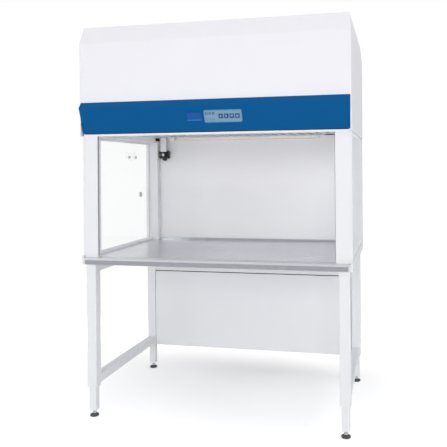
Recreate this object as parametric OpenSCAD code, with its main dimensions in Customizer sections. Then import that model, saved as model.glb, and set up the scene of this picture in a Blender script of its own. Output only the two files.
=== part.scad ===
// Laminar flow hood on an adjustable stand.
// Millimetres, +Z up, front towards -Y, origin on the floor at the middle of the footprint.

/* [Bench] */
// Overall width of the cabinet
bench_w = 1340; // [1000:10:1600]
// Depth of the cabinet, front face to rear face
bench_d = 870; // [780:10:1000]
// Height of the work surface above the floor
work_h = 800; // [720:5:840]
// Thickness of the folded sheets
sheet_t = 2; // [1.5:0.5:3]

/* [Stand] */
// Width of the square stand tubes
tube_w = 50; // [45:1:60]
// Wall of the square stand tubes
tube_wall = 4; // [3:0.5:5]
// Distance from the cabinet side to the stand tube
leg_inset = 16; // [10:1:40]
// Distance from the cabinet front to the stand tube, and the same at the rear
leg_setback = 30; // [24:1:60]
// Clearance around the sliding leg in its tube, each side
leg_clearance = 0.5; // [0.4:0.1:0.8]
// Wall of the sliding leg
leg_wall = 3; // [2:0.5:4]
// Length of the sliding leg
leg_length = 400; // [340:10:440]
// Length of the sliding leg that shows below its tube
leg_exposed = 118; // [60:2:150]
// Height of the rail on top of each side frame
top_rail_h = 38; // [25:1:50]
// Section of the low rail that ties each pair of legs
low_rail_w = 40; // [30:1:44]
// Height of the low rail above the end of the tubes
low_rail_lift = 10; // [5:1:60]
// Height of the rail across the rear of the stand
cross_rail_h = 50; // [30:1:60]
// Distance from the cabinet down to the cross rail
cross_rail_drop = 104; // [90:1:160]
// Dark shadow gap around the rear panel
panel_gap = 5; // [3:0.5:8]
// Gap between the rear panel and each stand tube
panel_side_gap = 1; // [0.5:0.5:4]
// Depth of the folded edge of the rear panel
panel_fold = 14; // [10:1:20]

/* [Levelling feet] */
// Diameter of a foot pad
foot_pad_d = 44; // [38:1:56]
// Height of a foot pad
foot_pad_h = 14; // [12:1:26]
// Distance between foot pad and leg
foot_gap = 18; // [16:1:24]
// Diameter of the foot stud
foot_stud_d = 12; // [10:1:14]
// Length of the foot stud above the pad
foot_stud_l = 75; // [50:1:85]
// Radial play of the stud in its thread
thread_play = 0.05; // [0.02:0.01:0.09]

/* [Work zone] */
// Depth of the base below the work surface
base_h = 34; // [30:1:50]
// Height of the work zone, work surface to ceiling frame
zone_h = 603; // [540:1:640]
// Width of a corner post
post_w = 71; // [50:1:90]
// Depth of a corner post
post_d = 40; // [36:1:50]
// Distance from the cabinet front to the front posts
post_setback = 28; // [24:1:34]
// Thickness of the side glass
glass_t = 6; // [5:0.5:7]
// Height of the glass sill above the work surface
sill_rise = 10; // [5:1:20]
// Width of the white beads round the inside of the side glass
bead_w = 15; // [10:1:20]
// Width of the bead along the lower edge of the side glass
sill_bead_w = 36; // [30:1:45]
// Height of the raised rear edge of the work tray
tray_upstand = 12; // [8:1:25]
// Height of the front nose of the work tray
tray_nose_h = 32; // [24:1:32]
// Height and depth of the bevel along the top of the front nose
tray_bevel = 10; // [6:1:12]
// Distance from the cabinet side to the end of the work tray
tray_inset = 14; // [12:1:20]
// Depth of the fold under the front nose
tray_nose_d = 14; // [10:1:18]
// Distance between the rear skin and the inner back wall
back_gap = 18; // [14:1:30]

/* [Hood] */
// Height of the hood above the work zone
hood_h = 542; // [500:2:640]
// Height of the slanted strip at the top of the hood
slant_h = 85; // [50:1:110]
// How far the slanted strip leans back
slant_back = 33; // [15:1:45]
// How far each hood side leans in over the same height
slant_side = 10; // [5:1:15]
// Radius of the upright front edges of the hood
hood_edge_r = 8; // [4:1:12]
// Width of the folded edges of the hood sheets
hood_fold = 14; // [10:1:20]
// Height of the control fascia
fascia_h = 151; // [140:1:170]
// Height of the upper bevel of the control fascia
fascia_bevel_h = 26; // [20:1:32]
// How far the fascia nose stands out in front of the hood
fascia_nose = 22; // [15:1:28]
// How far the fascia tucks back at its lower edge
fascia_tuck = 28; // [24:1:34]
// Width of the hood edge that shows beside each fascia end
fascia_margin = 7; // [5:1:12]
// Height of the fascia's lower edge above the ceiling frame's underside
fascia_lift = 13; // [8:1:20]

/* [Control panel] */
// Width of the keypad plate
keypad_w = 185; // [175:1:200]
// Height of the keypad plate
keypad_h = 61; // [56:1:66]
// Thickness of the keypad plate
keypad_t = 1.6; // [1.2:0.2:2.4]
// Keypad centre, distance right of the middle
keypad_x = 69.5; // [60:0.5:90]
// Width of the display window
display_w = 79; // [70:1:90]
// Height of the display window
display_h = 45; // [40:1:50]
// Distance between display window and keypad plate
display_gap = 10; // [5:1:20]
// Side of a square main key
key_w = 22; // [20:1:23]
// Distance between the main keys
key_pitch = 27; // [26:0.5:28]
// Side of a small menu key
menu_key_w = 9; // [8:0.5:10]
// Distance between the menu keys
menu_pitch = 17; // [15:0.5:18]
// Clearance around a key
key_play = 0.3; // [0.2:0.05:0.5]
// Travel of a key
key_travel = 0.8; // [0.5:0.1:1.2]
// How far a key stands above the keypad plate
key_rise = 1.2; // [1:0.1:2]

/* [Air system] */
// Height of the ceiling frame
ceiling_frame_h = 40; // [30:1:50]
// Height of the filter
filter_h = 70; // [50:1:90]
// Distance between filter pleats
pleat_pitch = 24; // [18:1:40]
// Height of the pressure box above the filter
plenum_h = 77; // [60:1:90]
// Width of the blower wheel
wheel_w = 200; // [150:5:220]
// Number of blades on the blower wheel
blade_count = 30; // [20:1:40]
// Radius of the blower shaft
shaft_r = 8; // [6:0.5:10]
// Rows of slots across the ceiling grille
grille_rows = 8; // [6:1:12]
// Slots in each row of the ceiling grille
grille_cols = 22; // [16:1:28]

/* [Fittings] */
// Diameter of a lamp tube
lamp_d = 26; // [16:1:30]
// Half the distance between the lamp holders
lamp_half = 435; // [380:1:460]
// Distance of the rear lamp behind the front face
lamp_y = 650; // [450:10:720]
// Width of the hanging post
hanger_w = 36; // [28:1:44]
// Length of the hanging post
hanger_l = 87; // [70:1:120]
// Distance between the hanging post's centre and the left posts
hanger_in = 40; // [34:1:70]
// Radius of the clamp knob over its lobes
knob_r = 37; // [28:1:40]
// Thickness of the clamp knob
knob_t = 22; // [15:1:24]

/* [Hidden] */
$fn = 48;
joint_gap = 0.5;
lap = 1;
bench_h = work_h + zone_h + hood_h;
hw = bench_w / 2;
y0 = -(bench_d + fascia_nose) / 2 + fascia_nose;
y1 = y0 + bench_d;

z_base = work_h - base_h;
z_ring = work_h + zone_h;
z_frame = z_ring + ceiling_frame_h;
z_filter = z_frame + filter_h;
z_plenum = z_filter + plenum_h;
z_fascia = z_ring + fascia_lift;
z_cover = z_fascia + fascia_h;
z_bend = bench_h - slant_h;
z_leg = foot_pad_h + foot_gap;
z_tube = z_leg + leg_exposed;
z_rail = z_base - top_rail_h;
z_cross = z_base - cross_rail_drop - cross_rail_h;
z_sill = work_h + sill_rise;

leg_w = tube_w - 2 * tube_wall - 2 * leg_clearance;
leg_x = hw - leg_inset - tube_w / 2;
leg_ys = [y0 + leg_setback + tube_w / 2, y1 - leg_setback - tube_w / 2];
panel_setback = 5;
leg_plate_t = 12;
cross_plate_t = 3;
foot_stud_r = foot_stud_d / 2;
foot_nut_h = 8;
bolt_r = 4;
bolt_head_h = 5.3;
bolt_head_r = 13 / 2 / cos(30);
bolt_play = 0.05;
clamp_bolt_zs = [z_tube + 80, z_tube + 120];
fix_bolt_ys = [leg_ys[0] + 150, leg_ys[1] - 150];

glass_x = hw - 3 - glass_t;
post_x1 = glass_x;
post_x0 = post_x1 - post_w;
bead_d = 14;
tray_half = hw - tray_inset;
bevel_lap = tan(22.5);
post_ys = [y0 + post_setback, y1 - back_gap - sheet_t - post_d];
y_wall = y1 - back_gap - sheet_t;
z_post = z_base + sheet_t;
z_glass_top = z_ring;
z_window = z_ring - 13;
glass_y0 = post_ys[0] + sheet_t + joint_gap;
z_ceiling = z_frame - 10;
ring_rear_w = 12;
frame_lip = 14;
filter_x = post_x0 + 36;
filter_ys = [post_ys[0] + 22, y_wall - 5];

fascia_half = hw - fascia_margin;
nose_z = z_cover - fascia_bevel_h;
face_drop = nose_z - z_fascia;
face_run = fascia_nose + fascia_tuck - sheet_t;
face_tilt = atan(face_run / face_drop);
bevel_tilt = atan(fascia_nose / fascia_bevel_h);
nose_shift = (1 / cos(bevel_tilt) - 1 / cos(face_tilt)) / (tan(face_tilt) + tan(bevel_tilt));
panel_z = z_fascia + face_drop * 0.552;
panel_y = y0 - fascia_nose + (nose_z - panel_z) * tan(face_tilt);
board_z = -sheet_t - key_travel - key_play;
key_row_x = keypad_x + keypad_w / 2 - 16;
menu_row_x = keypad_x - keypad_w / 2 + 13;
main_key_xs = [for (i = [3:-1:0]) key_row_x - i * key_pitch - 6];
menu_key_xs = [for (i = [0:2]) menu_row_x + i * menu_pitch];
menu_row_y = 14;
light_r = 2;
key_flange_t = 1.2;
key_flange_w = 1.2;
board_box_wall = 3;
board_box_d = 30;

pre_filter_h = 20;
blower_room = bench_h - sheet_t - pre_filter_h - z_plenum;
blower_z = z_plenum + blower_room * 0.495;
blower_y = (y0 + y1) / 2 + 10;
wheel_r = blower_room * 0.33;
wheel_gap = 12;
scroll_r0 = wheel_r + wheel_gap;
scroll_grow = wheel_r * 0.345;
scroll_half = wheel_w / 2 + wheel_gap;
blade_d = 22;
motor_r = wheel_r * 0.64;
motor_l = 110;
motor_x = -scroll_half - 40;
motor_arm_w = 16;
motor_arm_t = 12;

plug_ys = [y1 - 313, y1 - 225];
plug_z = work_h + 509;
plug_r = 6;
big_plug = [y1 - 155, work_h + 284];
big_plug_r = 13;
beam_seal = [y1 - 62, z_ceiling - 12];
beam_seal_size = [62, 18];
ceiling_seal = [post_x0 - 97, y1 - 117];
ceiling_seal_size = [66, 24];
hanger_x = post_x0 - hanger_in;
lamp_ys = [y0 + lamp_y, post_ys[0] + post_d + 30];
lamp_z = z_ceiling - 15;
hanger_y = y_wall - 40;
hub_r = 17;
hub_t = 14;
hub_z = z_ceiling - hanger_l - hub_r - 2;
clamp_stud_r = 5;
vent_y = [blower_y - 135, blower_y + 165];
vent_x = 220;
inlet_x = hw - 190;
inlet_z = z_plenum + 45;

white = "#eceef3";
steel = "#bfc1c4";
blue = "#155a93";
black = "#2b2c2e";

// A block between two corners
module block(low, high) {
    translate(low) cube(high - low);
}

// The same shape on the left and the right
module both_sides() {
    children();
    mirror([1, 0, 0]) children();
}

// A rectangle with round corners, about its centre
module round_rect(size, r) {
    square([size.x - 2 * r, size.y], center = true);
    square([size.x, size.y - 2 * r], center = true);
    for (sx = [-1, 1], sy = [-1, 1])
        translate([sx * (size.x / 2 - r), sy * (size.y / 2 - r)]) circle(r);
}

// A hollow section with round corners, standing on the origin
module hollow_section(size, wall, r, h) {
    difference() {
        linear_extrude(h) round_rect(size, r);
        translate([0, 0, -1]) linear_extrude(h + 2) square(size - [2 * wall, 2 * wall], center = true);
    }
}

// A profile drawn in Y and Z, extruded over X from x0 to x1
module along_x(x0, x1) {
    translate([x0, 0, 0]) rotate([90, 0, 90]) linear_extrude(x1 - x0) children();
}

// A shape drawn on the sloping fascia face: X right, Y up the slope, Z out of the face
module on_fascia(x = 0) {
    translate([x, panel_y, panel_z]) rotate([90 + face_tilt, 0, 0]) children();
}

// Hexagon bolt, head below the origin, shank upwards
module hex_bolt(shank) {
    translate([0, 0, -bolt_head_h]) cylinder(r = bolt_head_r, h = bolt_head_h, $fn = 6);
    translate([0, 0, -lap]) cylinder(r = bolt_r, h = shank + lap);
}

// Places its child, which points up, into the rear face of each tube of one side
module at_clamp_bolts() {
    for (y = leg_ys, z = clamp_bolt_zs)
        translate([leg_x, y + tube_w / 2, z]) rotate([90, 0, 0]) children();
}

// Places its child, which points up, under the top rail of one side
module at_fix_bolts() {
    for (y = fix_bolt_ys) translate([leg_x, y, z_rail]) children();
}

// One welded side frame of the stand: two tubes, a top rail and a low rail
module stand_frame() {
    low_z = z_tube + low_rail_lift;
    difference() {
        union() {
            for (y = leg_ys)
                translate([leg_x, y, z_tube])
                    hollow_section([tube_w, tube_w], tube_wall, 4, z_rail - z_tube + lap);
            block([leg_x - tube_w / 2, leg_ys[0] - tube_w / 2, z_rail],
                [leg_x + tube_w / 2, leg_ys[1] + tube_w / 2, z_base]);
            block([leg_x - low_rail_w / 2, leg_ys[0] + tube_w / 2 - lap, low_z],
                [leg_x + low_rail_w / 2, leg_ys[1] - tube_w / 2 + lap, low_z + low_rail_w]);
        }
        at_clamp_bolts() translate([0, 0, -1]) cylinder(r = bolt_r + bolt_play, h = tube_wall + 2);
        at_fix_bolts() translate([0, 0, -1]) cylinder(r = bolt_r + bolt_play, h = top_rail_h + 2);
    }
}

module left_stand_frame() {
    color(white) mirror([1, 0, 0]) stand_frame();
}

module right_stand_frame() {
    color(white) stand_frame();
}

// Rail across the rear, between the side frames, with a plate welded on each end
module rear_cross_rail() {
    half = leg_x - tube_w / 2;
    color(white) {
        translate([-half + cross_plate_t - lap, leg_ys[1], z_cross + cross_rail_h / 2]) rotate([0, 90, 0])
            linear_extrude(2 * (half - cross_plate_t + lap)) round_rect([cross_rail_h, tube_w], 4);
        both_sides()
            block([half - cross_plate_t, leg_ys[1] - tube_w / 2, z_cross - 4],
                [half, leg_ys[1] + tube_w / 2, z_cross + cross_rail_h + 16]);
    }
}

// Folded panel between the rear tubes, its edges stepped back to form a shadow gap
module stand_rear_panel() {
    half = leg_x - tube_w / 2;
    face_half = half - panel_side_gap - 1;
    y = leg_ys[1] - tube_w / 2 + panel_setback;
    top = z_cross - panel_gap;
    color(white) {
        block([-face_half, y, z_tube], [face_half, y + sheet_t, top]);
        both_sides() {
            block([face_half - sheet_t, y, z_tube], [face_half, y + panel_fold, top]);
            block([face_half - sheet_t, y + panel_fold - sheet_t, z_tube], [half, y + panel_fold, top]);
        }
        for (z = [z_tube, top - sheet_t])
            block([-face_half, y, z], [face_half, y + panel_fold + 4, z + sheet_t]);
    }
}

// Bolts that clamp the sliding legs, and bolts that hold the cabinet on the stand
module stand_bolts() {
    color(steel) both_sides() {
        at_clamp_bolts() hex_bolt(tube_wall + 0.2);
        at_fix_bolts() hex_bolt(top_rail_h + sheet_t + 6);
    }
}

// Sliding leg with the threaded plate in its lower end
module sliding_leg(sx, i) {
    color(white) translate([sx * leg_x, leg_ys[i], z_leg]) difference() {
        linear_extrude(leg_length) round_rect([leg_w, leg_w], 3);
        translate([0, 0, leg_plate_t])
            linear_extrude(leg_length) square(leg_w - 2 * leg_wall, center = true);
        translate([0, 0, -1]) cylinder(r = foot_stud_r + thread_play, h = leg_plate_t + 2);
    }
}

module front_left_leg() {
    sliding_leg(-1, 0);
}

module front_right_leg() {
    sliding_leg(1, 0);
}

module rear_left_leg() {
    sliding_leg(-1, 1);
}

module rear_right_leg() {
    sliding_leg(1, 1);
}

// Levelling foot: moulded pad, stud and lock nut
module levelling_foot(sx, i) {
    pad_r = foot_pad_d / 2;
    color(black) translate([sx * leg_x, leg_ys[i], 0]) {
        rotate_extrude() polygon([[0, 0], [pad_r - 2, 0], [pad_r, 2], [pad_r, foot_pad_h * 0.6],
            [pad_r - 2, foot_pad_h * 0.72], [foot_stud_r + 7, foot_pad_h], [0, foot_pad_h]]);
        translate([0, 0, foot_pad_h - 1]) cylinder(r = foot_stud_r, h = foot_stud_l + 1);
        translate([0, 0, foot_pad_h]) cylinder(r = foot_stud_r * 1.8, h = foot_nut_h, $fn = 6);
    }
}

module front_left_foot() {
    levelling_foot(-1, 0);
}

module front_right_foot() {
    levelling_foot(1, 0);
}

module rear_left_foot() {
    levelling_foot(-1, 1);
}

module rear_right_foot() {
    levelling_foot(1, 1);
}

// Folded pan under the work tray, with a sill rail along each side and ribs that carry the tray
module base_pan() {
    rib_w = 30;
    tray_under = work_h - sheet_t;
    front = y0 + tray_nose_d;
    color(white) difference() {
        union() {
            block([-hw + 2, front, z_base], [hw - 2, y1, z_base + sheet_t]);
            block([-post_x1, front, z_base], [post_x1, front + sheet_t, tray_under]);
            both_sides()
                block([post_x1, front, z_base], [hw - 2, y_wall + sheet_t, z_sill]);
            for (x = [-hw / 2, 0, hw / 2]) difference() {
                block([x - rib_w / 2, y0 + 40, z_base + sheet_t - lap],
                    [x + rib_w / 2, y_wall - 10, tray_under]);
                block([x - rib_w / 2 + sheet_t, y0 + 39, z_base + sheet_t],
                    [x + rib_w / 2 - sheet_t, y_wall - 9, tray_under - sheet_t]);
            }
        }
        both_sides() at_fix_bolts() cylinder(r = bolt_r + bolt_play, h = top_rail_h + sheet_t + 7);
    }
}

// Stainless work tray: flat top cut round the posts, folded nose, raised bead and rear edge
module work_tray() {
    nose_half = tray_half - 8;
    bevel_in = bevel_lap * sheet_t;
    low = work_h - tray_nose_h;
    color(steel) {
        difference() {
            block([-tray_half, y0 + tray_bevel, work_h - sheet_t], [tray_half, y_wall - 2, work_h]);
            both_sides() {
                for (y = post_ys)
                    block([post_x0 - joint_gap, y - joint_gap, work_h - 2 * sheet_t],
                        [post_x1 + joint_gap, y + post_d + joint_gap, work_h + 1]);
                block([post_x1 - sill_bead_w - joint_gap, post_ys[0] - joint_gap, work_h - 2 * sheet_t],
                    [post_x1 + joint_gap, y_wall, work_h + 1]);
            }
        }
        along_x(-nose_half, nose_half) polygon([[y0 + tray_bevel + lap, work_h], [y0 + tray_bevel, work_h],
            [y0, work_h - tray_bevel], [y0, low], [y0 + tray_nose_d, low], [y0 + tray_nose_d, low + sheet_t],
            [y0 + sheet_t, low + sheet_t], [y0 + sheet_t, work_h - tray_bevel - bevel_in],
            [y0 + tray_bevel + bevel_in, work_h - sheet_t], [y0 + tray_bevel + lap, work_h - sheet_t]]);
        block([-post_x0 + joint_gap, y_wall - 2 - sheet_t, work_h - lap],
            [post_x0 - joint_gap, y_wall - 2, work_h + tray_upstand]);
        along_x(-post_x0 + joint_gap, post_x0 - joint_gap) intersection() {
            translate([y0 + post_setback + 12, work_h - 2]) circle(6);
            translate([y0 + post_setback, work_h - 0.5]) square([24, 6]);
        }
    }
}

// Corner post, a hollow section standing in the base pan
module corner_post(sx, i) {
    color(white) translate([sx * (post_x0 + post_x1) / 2, post_ys[i] + post_d / 2, z_post])
        hollow_section([post_w, post_d], sheet_t, 4, z_ring - z_post);
}

// Front post, with a lip that covers the front edge of the side glass
module front_post(sx) {
    corner_post(sx, 0);
    color(white) scale([sx, 1, 1])
        block([post_x1 - lap, post_ys[0], z_sill], [glass_x + glass_t, post_ys[0] + sheet_t, z_ring]);
}

module front_left_post() {
    front_post(-1);
}

module front_right_post() {
    front_post(1);
}

module rear_left_post() {
    corner_post(-1, 1);
}

module rear_right_post() {
    corner_post(1, 1);
}

// Side window, laid on the outside of the posts
module side_glass() {
    block([glass_x, glass_y0, z_sill], [glass_x + glass_t, y_wall, z_glass_top]);
}

module left_glass() {
    color("#dfe9ea", 0.3) difference() {
        mirror([1, 0, 0]) side_glass();
        for (y = plug_ys)
            translate([-hw, y, plug_z]) rotate([0, 90, 0]) cylinder(r = plug_r + 0.2, h = 3 * glass_t);
        translate([-hw, big_plug[0], big_plug[1]]) rotate([0, 90, 0])
            cylinder(r = big_plug_r + 0.2, h = 3 * glass_t);
    }
}

module right_glass() {
    color("#dfe9ea", 0.3) side_glass();
}

// Bead frame round the inside of each side window, between the posts
module glazing_beads() {
    y_in = [post_ys[0] + post_d + bead_d, post_ys[1] - bead_d];
    foot_z = work_h - sheet_t;
    color(white) both_sides() difference() {
        union() {
            block([post_x1 - bead_w, post_ys[0] + post_d, foot_z], [post_x1, post_ys[1], z_ring]);
            block([post_x1 - sill_bead_w, post_ys[0] + post_d, foot_z], [post_x1, post_ys[1], z_sill]);
        }
        block([post_x1 - bead_w - 1, y_in[0], z_sill], [post_x1 + 1, y_in[1], z_window]);
    }
}

// Narrow strips on the front posts, the seal on top of the rear panel, and the two seals
// where cables pass the ceiling frame and its left beam
module rubber_seals() {
    panel_y = leg_ys[1] - tube_w / 2 + panel_setback;
    panel_top = z_cross - panel_gap;
    panel_half = leg_x - tube_w / 2 - cross_plate_t - joint_gap;
    color(black) {
        both_sides()
            block([post_x0 - 1.5, post_ys[0] + 8, work_h + 8], [post_x0, post_ys[0] + 12, z_ring]);
        block([-panel_half, panel_y + 1, panel_top], [panel_half, panel_y + panel_fold, z_cross]);
        translate([-post_x0, beam_seal[0], beam_seal[1]]) rotate([90, 0, 90])
            linear_extrude(3) round_rect(beam_seal_size, beam_seal_size.y * 0.49);
        translate([ceiling_seal[0], ceiling_seal[1], z_ceiling - 4])
            linear_extrude(4) round_rect(ceiling_seal_size, ceiling_seal_size.y / 3);
    }
}

// Rubber plug for a hole in the left glass, on the glass's outer plane
module glass_plug(y, z, r) {
    translate([-glass_x - glass_t, y, z]) rotate([0, 90, 0]) {
        translate([0, 0, -1.5]) cylinder(r = r + 2.5, h = 1.5);
        translate([0, 0, -lap]) cylinder(r = r, h = glass_t + 2 * lap);
        translate([0, 0, glass_t]) cylinder(r = r + 2.5, h = 2);
    }
}

// Plugs in the left glass
module glass_plugs() {
    color("#b4b7bb") {
        for (y = plug_ys) glass_plug(y, plug_z, plug_r);
        glass_plug(big_plug[0], big_plug[1], big_plug_r);
    }
}

module inner_back_wall() {
    color(white) block([-post_x1, y_wall, z_post], [post_x1, y_wall + sheet_t, z_frame]);
}

// Rear skin of the work zone, its edges folded forward onto the inner wall
module lower_rear_panel() {
    half = hw - 2;
    color(white) difference() {
        block([-half, y_wall + sheet_t, z_post], [half, y1, z_ring - 1]);
        block([-half + sheet_t, y_wall, z_post + sheet_t],
            [half - sheet_t, y1 - sheet_t, z_ring - 1 - sheet_t]);
    }
}

// Welded frame on top of the posts that carries the filter and the hood
module ceiling_frame() {
    color(white) difference() {
        block([-post_x1, post_ys[0], z_ring], [post_x1, y_wall, z_frame]);
        block([-post_x0, post_ys[0] + post_d, z_ring - 1], [post_x0, y_wall - ring_rear_w, z_frame + 1]);
        block([-post_x0, y_wall - ring_rear_w - 1, z_ring - 1], [post_x0, y_wall + 1, z_ceiling]);
    }
}

// Outer body of the hood, drawn in by an inset: slanted front strip, leaning sides, round front edges
module hood_body(inset) {
    low = z_ring - (inset > 0 ? 1 : 0);
    top = bench_h - inset;
    r = hood_edge_r - inset;
    w = hw - inset;
    intersection() {
        along_x(-hw, hw) polygon([[y0 + inset, low], [y0 + inset, z_bend], [y0 + slant_back + inset, top],
            [y1 - inset, top], [y1 - inset, low]]);
        translate([0, y1, 0]) rotate([90, 0, 0]) linear_extrude(bench_d) polygon([[-w, low], [-w, z_bend],
            [-w + slant_side, top], [w - slant_side, top], [w, z_bend], [w, low]]);
        translate([0, 0, z_ring - 1]) linear_extrude(bench_h) {
            translate([-w, y0 + inset + r]) square([2 * w, bench_d - 2 * inset - r]);
            translate([-w + r, y0 + inset]) square([2 * (w - r), r + 1]);
            for (sx = [-1, 1]) translate([sx * (w - r), y0 + inset + r]) circle(r);
        }
    }
}

module hood_shell() {
    difference() {
        hood_body(0);
        hood_body(sheet_t);
    }
}

// Part of the hood shell that the front cover takes, grown by a joint gap
module cover_zone(gap) {
    along_x(-hw - 1, hw + 1) polygon([[y0 - 1, z_cover + 1 - gap], [y0 + hood_fold + gap, z_cover + 1 - gap],
        [y0 + hood_fold + gap, z_bend], [y0 + slant_back + hood_fold + gap, bench_h + 1],
        [y0 - 1, bench_h + 1]]);
}

module hood_front_cover() {
    color(white) intersection() {
        hood_shell();
        cover_zone(0);
    }
}

// Side sheet of the hood, folded over at the top, rear and bottom, with a lip beside the fascia
module hood_side() {
    x_fold = hw - slant_side - hood_fold;
    difference() {
        intersection() {
            hood_shell();
            block([x_fold, y0, z_ring], [hw, y1, bench_h]);
        }
        cover_zone(joint_gap);
        block([x_fold - 1, y0 - 1, z_ring - 1], [fascia_half + joint_gap, y0 + hood_edge_r, z_cover + 2]);
    }
    block([post_x1, y0 + post_setback, z_ring], [hw - sheet_t + lap, y_wall, z_ring + sheet_t]);
}

module hood_left_side() {
    color(white) mirror([1, 0, 0]) hood_side();
}

module hood_right_side() {
    color(white) hood_side();
}

// Roof sheet with the opening of the air intake
module hood_roof() {
    x_edge = hw - slant_side - hood_fold - joint_gap;
    color(white) difference() {
        block([-x_edge, y0 + slant_back, bench_h - sheet_t], [x_edge, y1, bench_h]);
        cover_zone(joint_gap);
        block([-vent_x, vent_y[0], bench_h - 2 * sheet_t], [vent_x, vent_y[1], bench_h + 1]);
    }
}

// Rear sheet of the hood with the cut-out of the power inlet
module hood_rear_panel() {
    x_edge = hw - slant_side - hood_fold - joint_gap;
    color(white) difference() {
        block([-x_edge, y1 - sheet_t, z_ring], [x_edge, y1, bench_h - sheet_t]);
        block([inlet_x - 14, y1 - 2 * sheet_t, inlet_z - 10.2], [inlet_x + 14, y1 + 1, inlet_z + 10.2]);
    }
}

// Outline of the fascia in Y and Z, drawn in by an inset
module fascia_outline(inset) {
    face_shift = inset / cos(face_tilt);
    back = y0 + post_setback + (inset > 0 ? 1 : 0);
    polygon([[back, z_cover - inset],
        [y0 + inset / cos(bevel_tilt) - inset * tan(bevel_tilt), z_cover - inset],
        [y0 - fascia_nose + face_shift + inset * nose_shift * tan(face_tilt), nose_z - inset * nose_shift],
        [y0 + fascia_tuck - sheet_t + face_shift - inset * tan(face_tilt), z_fascia + inset],
        [back, z_fascia + inset]]);
}

// Blue control fascia: folded sheet with closed ends, open at the back, cut out behind the keypad
module control_fascia() {
    color(blue) difference() {
        along_x(-fascia_half, fascia_half) fascia_outline(0);
        along_x(-fascia_half + sheet_t, fascia_half - sheet_t) fascia_outline(sheet_t);
        on_fascia(keypad_x) translate([0, 0, -3 * sheet_t])
            linear_extrude(4 * sheet_t) square([keypad_w - 12, keypad_h - 12], center = true);
    }
}

// Display window on the fascia, left of the keypad
module display_window() {
    x = keypad_x - keypad_w / 2 - display_gap - display_w / 2;
    color("#12497f") on_fascia(x) linear_extrude(keypad_t) round_rect([display_w, display_h], 3);
}

// Keypad plate with its key openings and light holes
module keypad_plate() {
    color("#86acc4") on_fascia() difference() {
        translate([keypad_x, 0, 0]) linear_extrude(keypad_t) round_rect([keypad_w, keypad_h], 8);
        for (x = main_key_xs) translate([x, 0, -1])
            linear_extrude(keypad_t + 2) square(key_w + 2 * key_play, center = true);
        for (x = menu_key_xs) {
            translate([x, -menu_row_y, -1])
                linear_extrude(keypad_t + 2) square(menu_key_w + 2 * key_play, center = true);
            translate([x, menu_row_y, -1]) cylinder(r = light_r + key_play, h = keypad_t + 2);
        }
    }
}

// Square key with a flange that holds it behind the keypad plate
module push_key(x, y, w) {
    color("#2a6aa5") on_fascia() translate([x, y, 0]) {
        translate([0, 0, -1]) linear_extrude(1 + keypad_t + key_rise) square(w, center = true);
        translate([0, 0, -key_play - key_flange_t])
            linear_extrude(key_flange_t) square(w + 2 * key_flange_w, center = true);
    }
}

module fan_key() {
    push_key(main_key_xs[0], 0, key_w);
}

module light_key() {
    push_key(main_key_xs[1], 0, key_w);
}

module uv_lamp_key() {
    push_key(main_key_xs[2], 0, key_w);
}

module socket_key() {
    push_key(main_key_xs[3], 0, key_w);
}

module down_key() {
    push_key(menu_key_xs[0], -menu_row_y, menu_key_w);
}

module up_key() {
    push_key(menu_key_xs[1], -menu_row_y, menu_key_w);
}

module menu_key() {
    push_key(menu_key_xs[2], -menu_row_y, menu_key_w);
}

module indicator_lights() {
    color("#d7e6f0") on_fascia() for (x = menu_key_xs)
        translate([x, menu_row_y, board_z]) cylinder(r = light_r, h = keypad_t - board_z + key_play);
}

// Box behind the fascia that carries the key board, with a rim against the fascia sheet
module controller_box() {
    left = keypad_x - keypad_w / 2 - display_gap - display_w - 6;
    right = keypad_x + keypad_w / 2 + 10;
    half_h = keypad_h / 2 + 7;
    wall = board_box_wall;
    color("#3a3f45") on_fascia() difference() {
        block([left, -half_h, -board_box_d], [right, half_h, -sheet_t]);
        block([left + wall, -half_h + wall, board_z], [right - wall, half_h - wall, 0]);
    }
}

// Slotted grille under the filter, its edge folded up against the filter frame
module ceiling_grille() {
    half = post_x0 - joint_gap;
    ya = post_ys[0] + post_d + joint_gap;
    yb = y_wall - ring_rear_w - joint_gap;
    edge = 20;
    pitch_x = 2 * (half - edge) / grille_cols;
    pitch_y = (yb - ya - 2 * edge) / grille_rows;
    color("#e2e2df") difference() {
        block([-half, ya, z_ceiling], [half, yb, z_frame]);
        block([-half + sheet_t, ya + sheet_t, z_ceiling + sheet_t],
            [half - sheet_t, yb - sheet_t, z_frame + 1]);
        for (i = [0:grille_cols - 1], j = [0:grille_rows - 1])
            translate([-half + edge + (i + 0.5) * pitch_x, ya + edge + (j + 0.5) * pitch_y, z_ceiling - 1])
                linear_extrude(sheet_t + 2) square([pitch_x * 0.5, pitch_y * 0.72], center = true);
    }
}

// Aluminium channel frame of the main filter
module filter_frame() {
    color(steel) difference() {
        block([-filter_x, filter_ys[0], z_frame], [filter_x, filter_ys[1], z_filter]);
        block([-filter_x + 3, filter_ys[0] + 3, z_frame + 3],
            [filter_x - 3, filter_ys[1] - 3, z_filter - 3]);
        block([-post_x0 + frame_lip, post_ys[0] + post_d + frame_lip, z_frame - 1],
            [post_x0 - frame_lip, y_wall - ring_rear_w - frame_lip, z_filter + 1]);
    }
}

// Pleated filter sheet, folded to and fro across the frame
module filter_pleats() {
    half = filter_x - 4;
    low = z_frame + 3;
    high = z_filter - 3;
    n = floor(2 * half / pleat_pitch) * 2;
    step = 2 * half / n;
    t = 2;
    top = [for (i = [0:n]) [-half + i * step, i % 2 == 0 ? low + t : high]];
    under = [for (i = [n:-1:0]) [-half + i * step, i % 2 == 0 ? low : high - t]];
    color("#f4f2ea") translate([0, filter_ys[1] - 4, 0]) rotate([90, 0, 0])
        linear_extrude(filter_ys[1] - filter_ys[0] - 8) polygon(concat(top, under));
}

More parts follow.
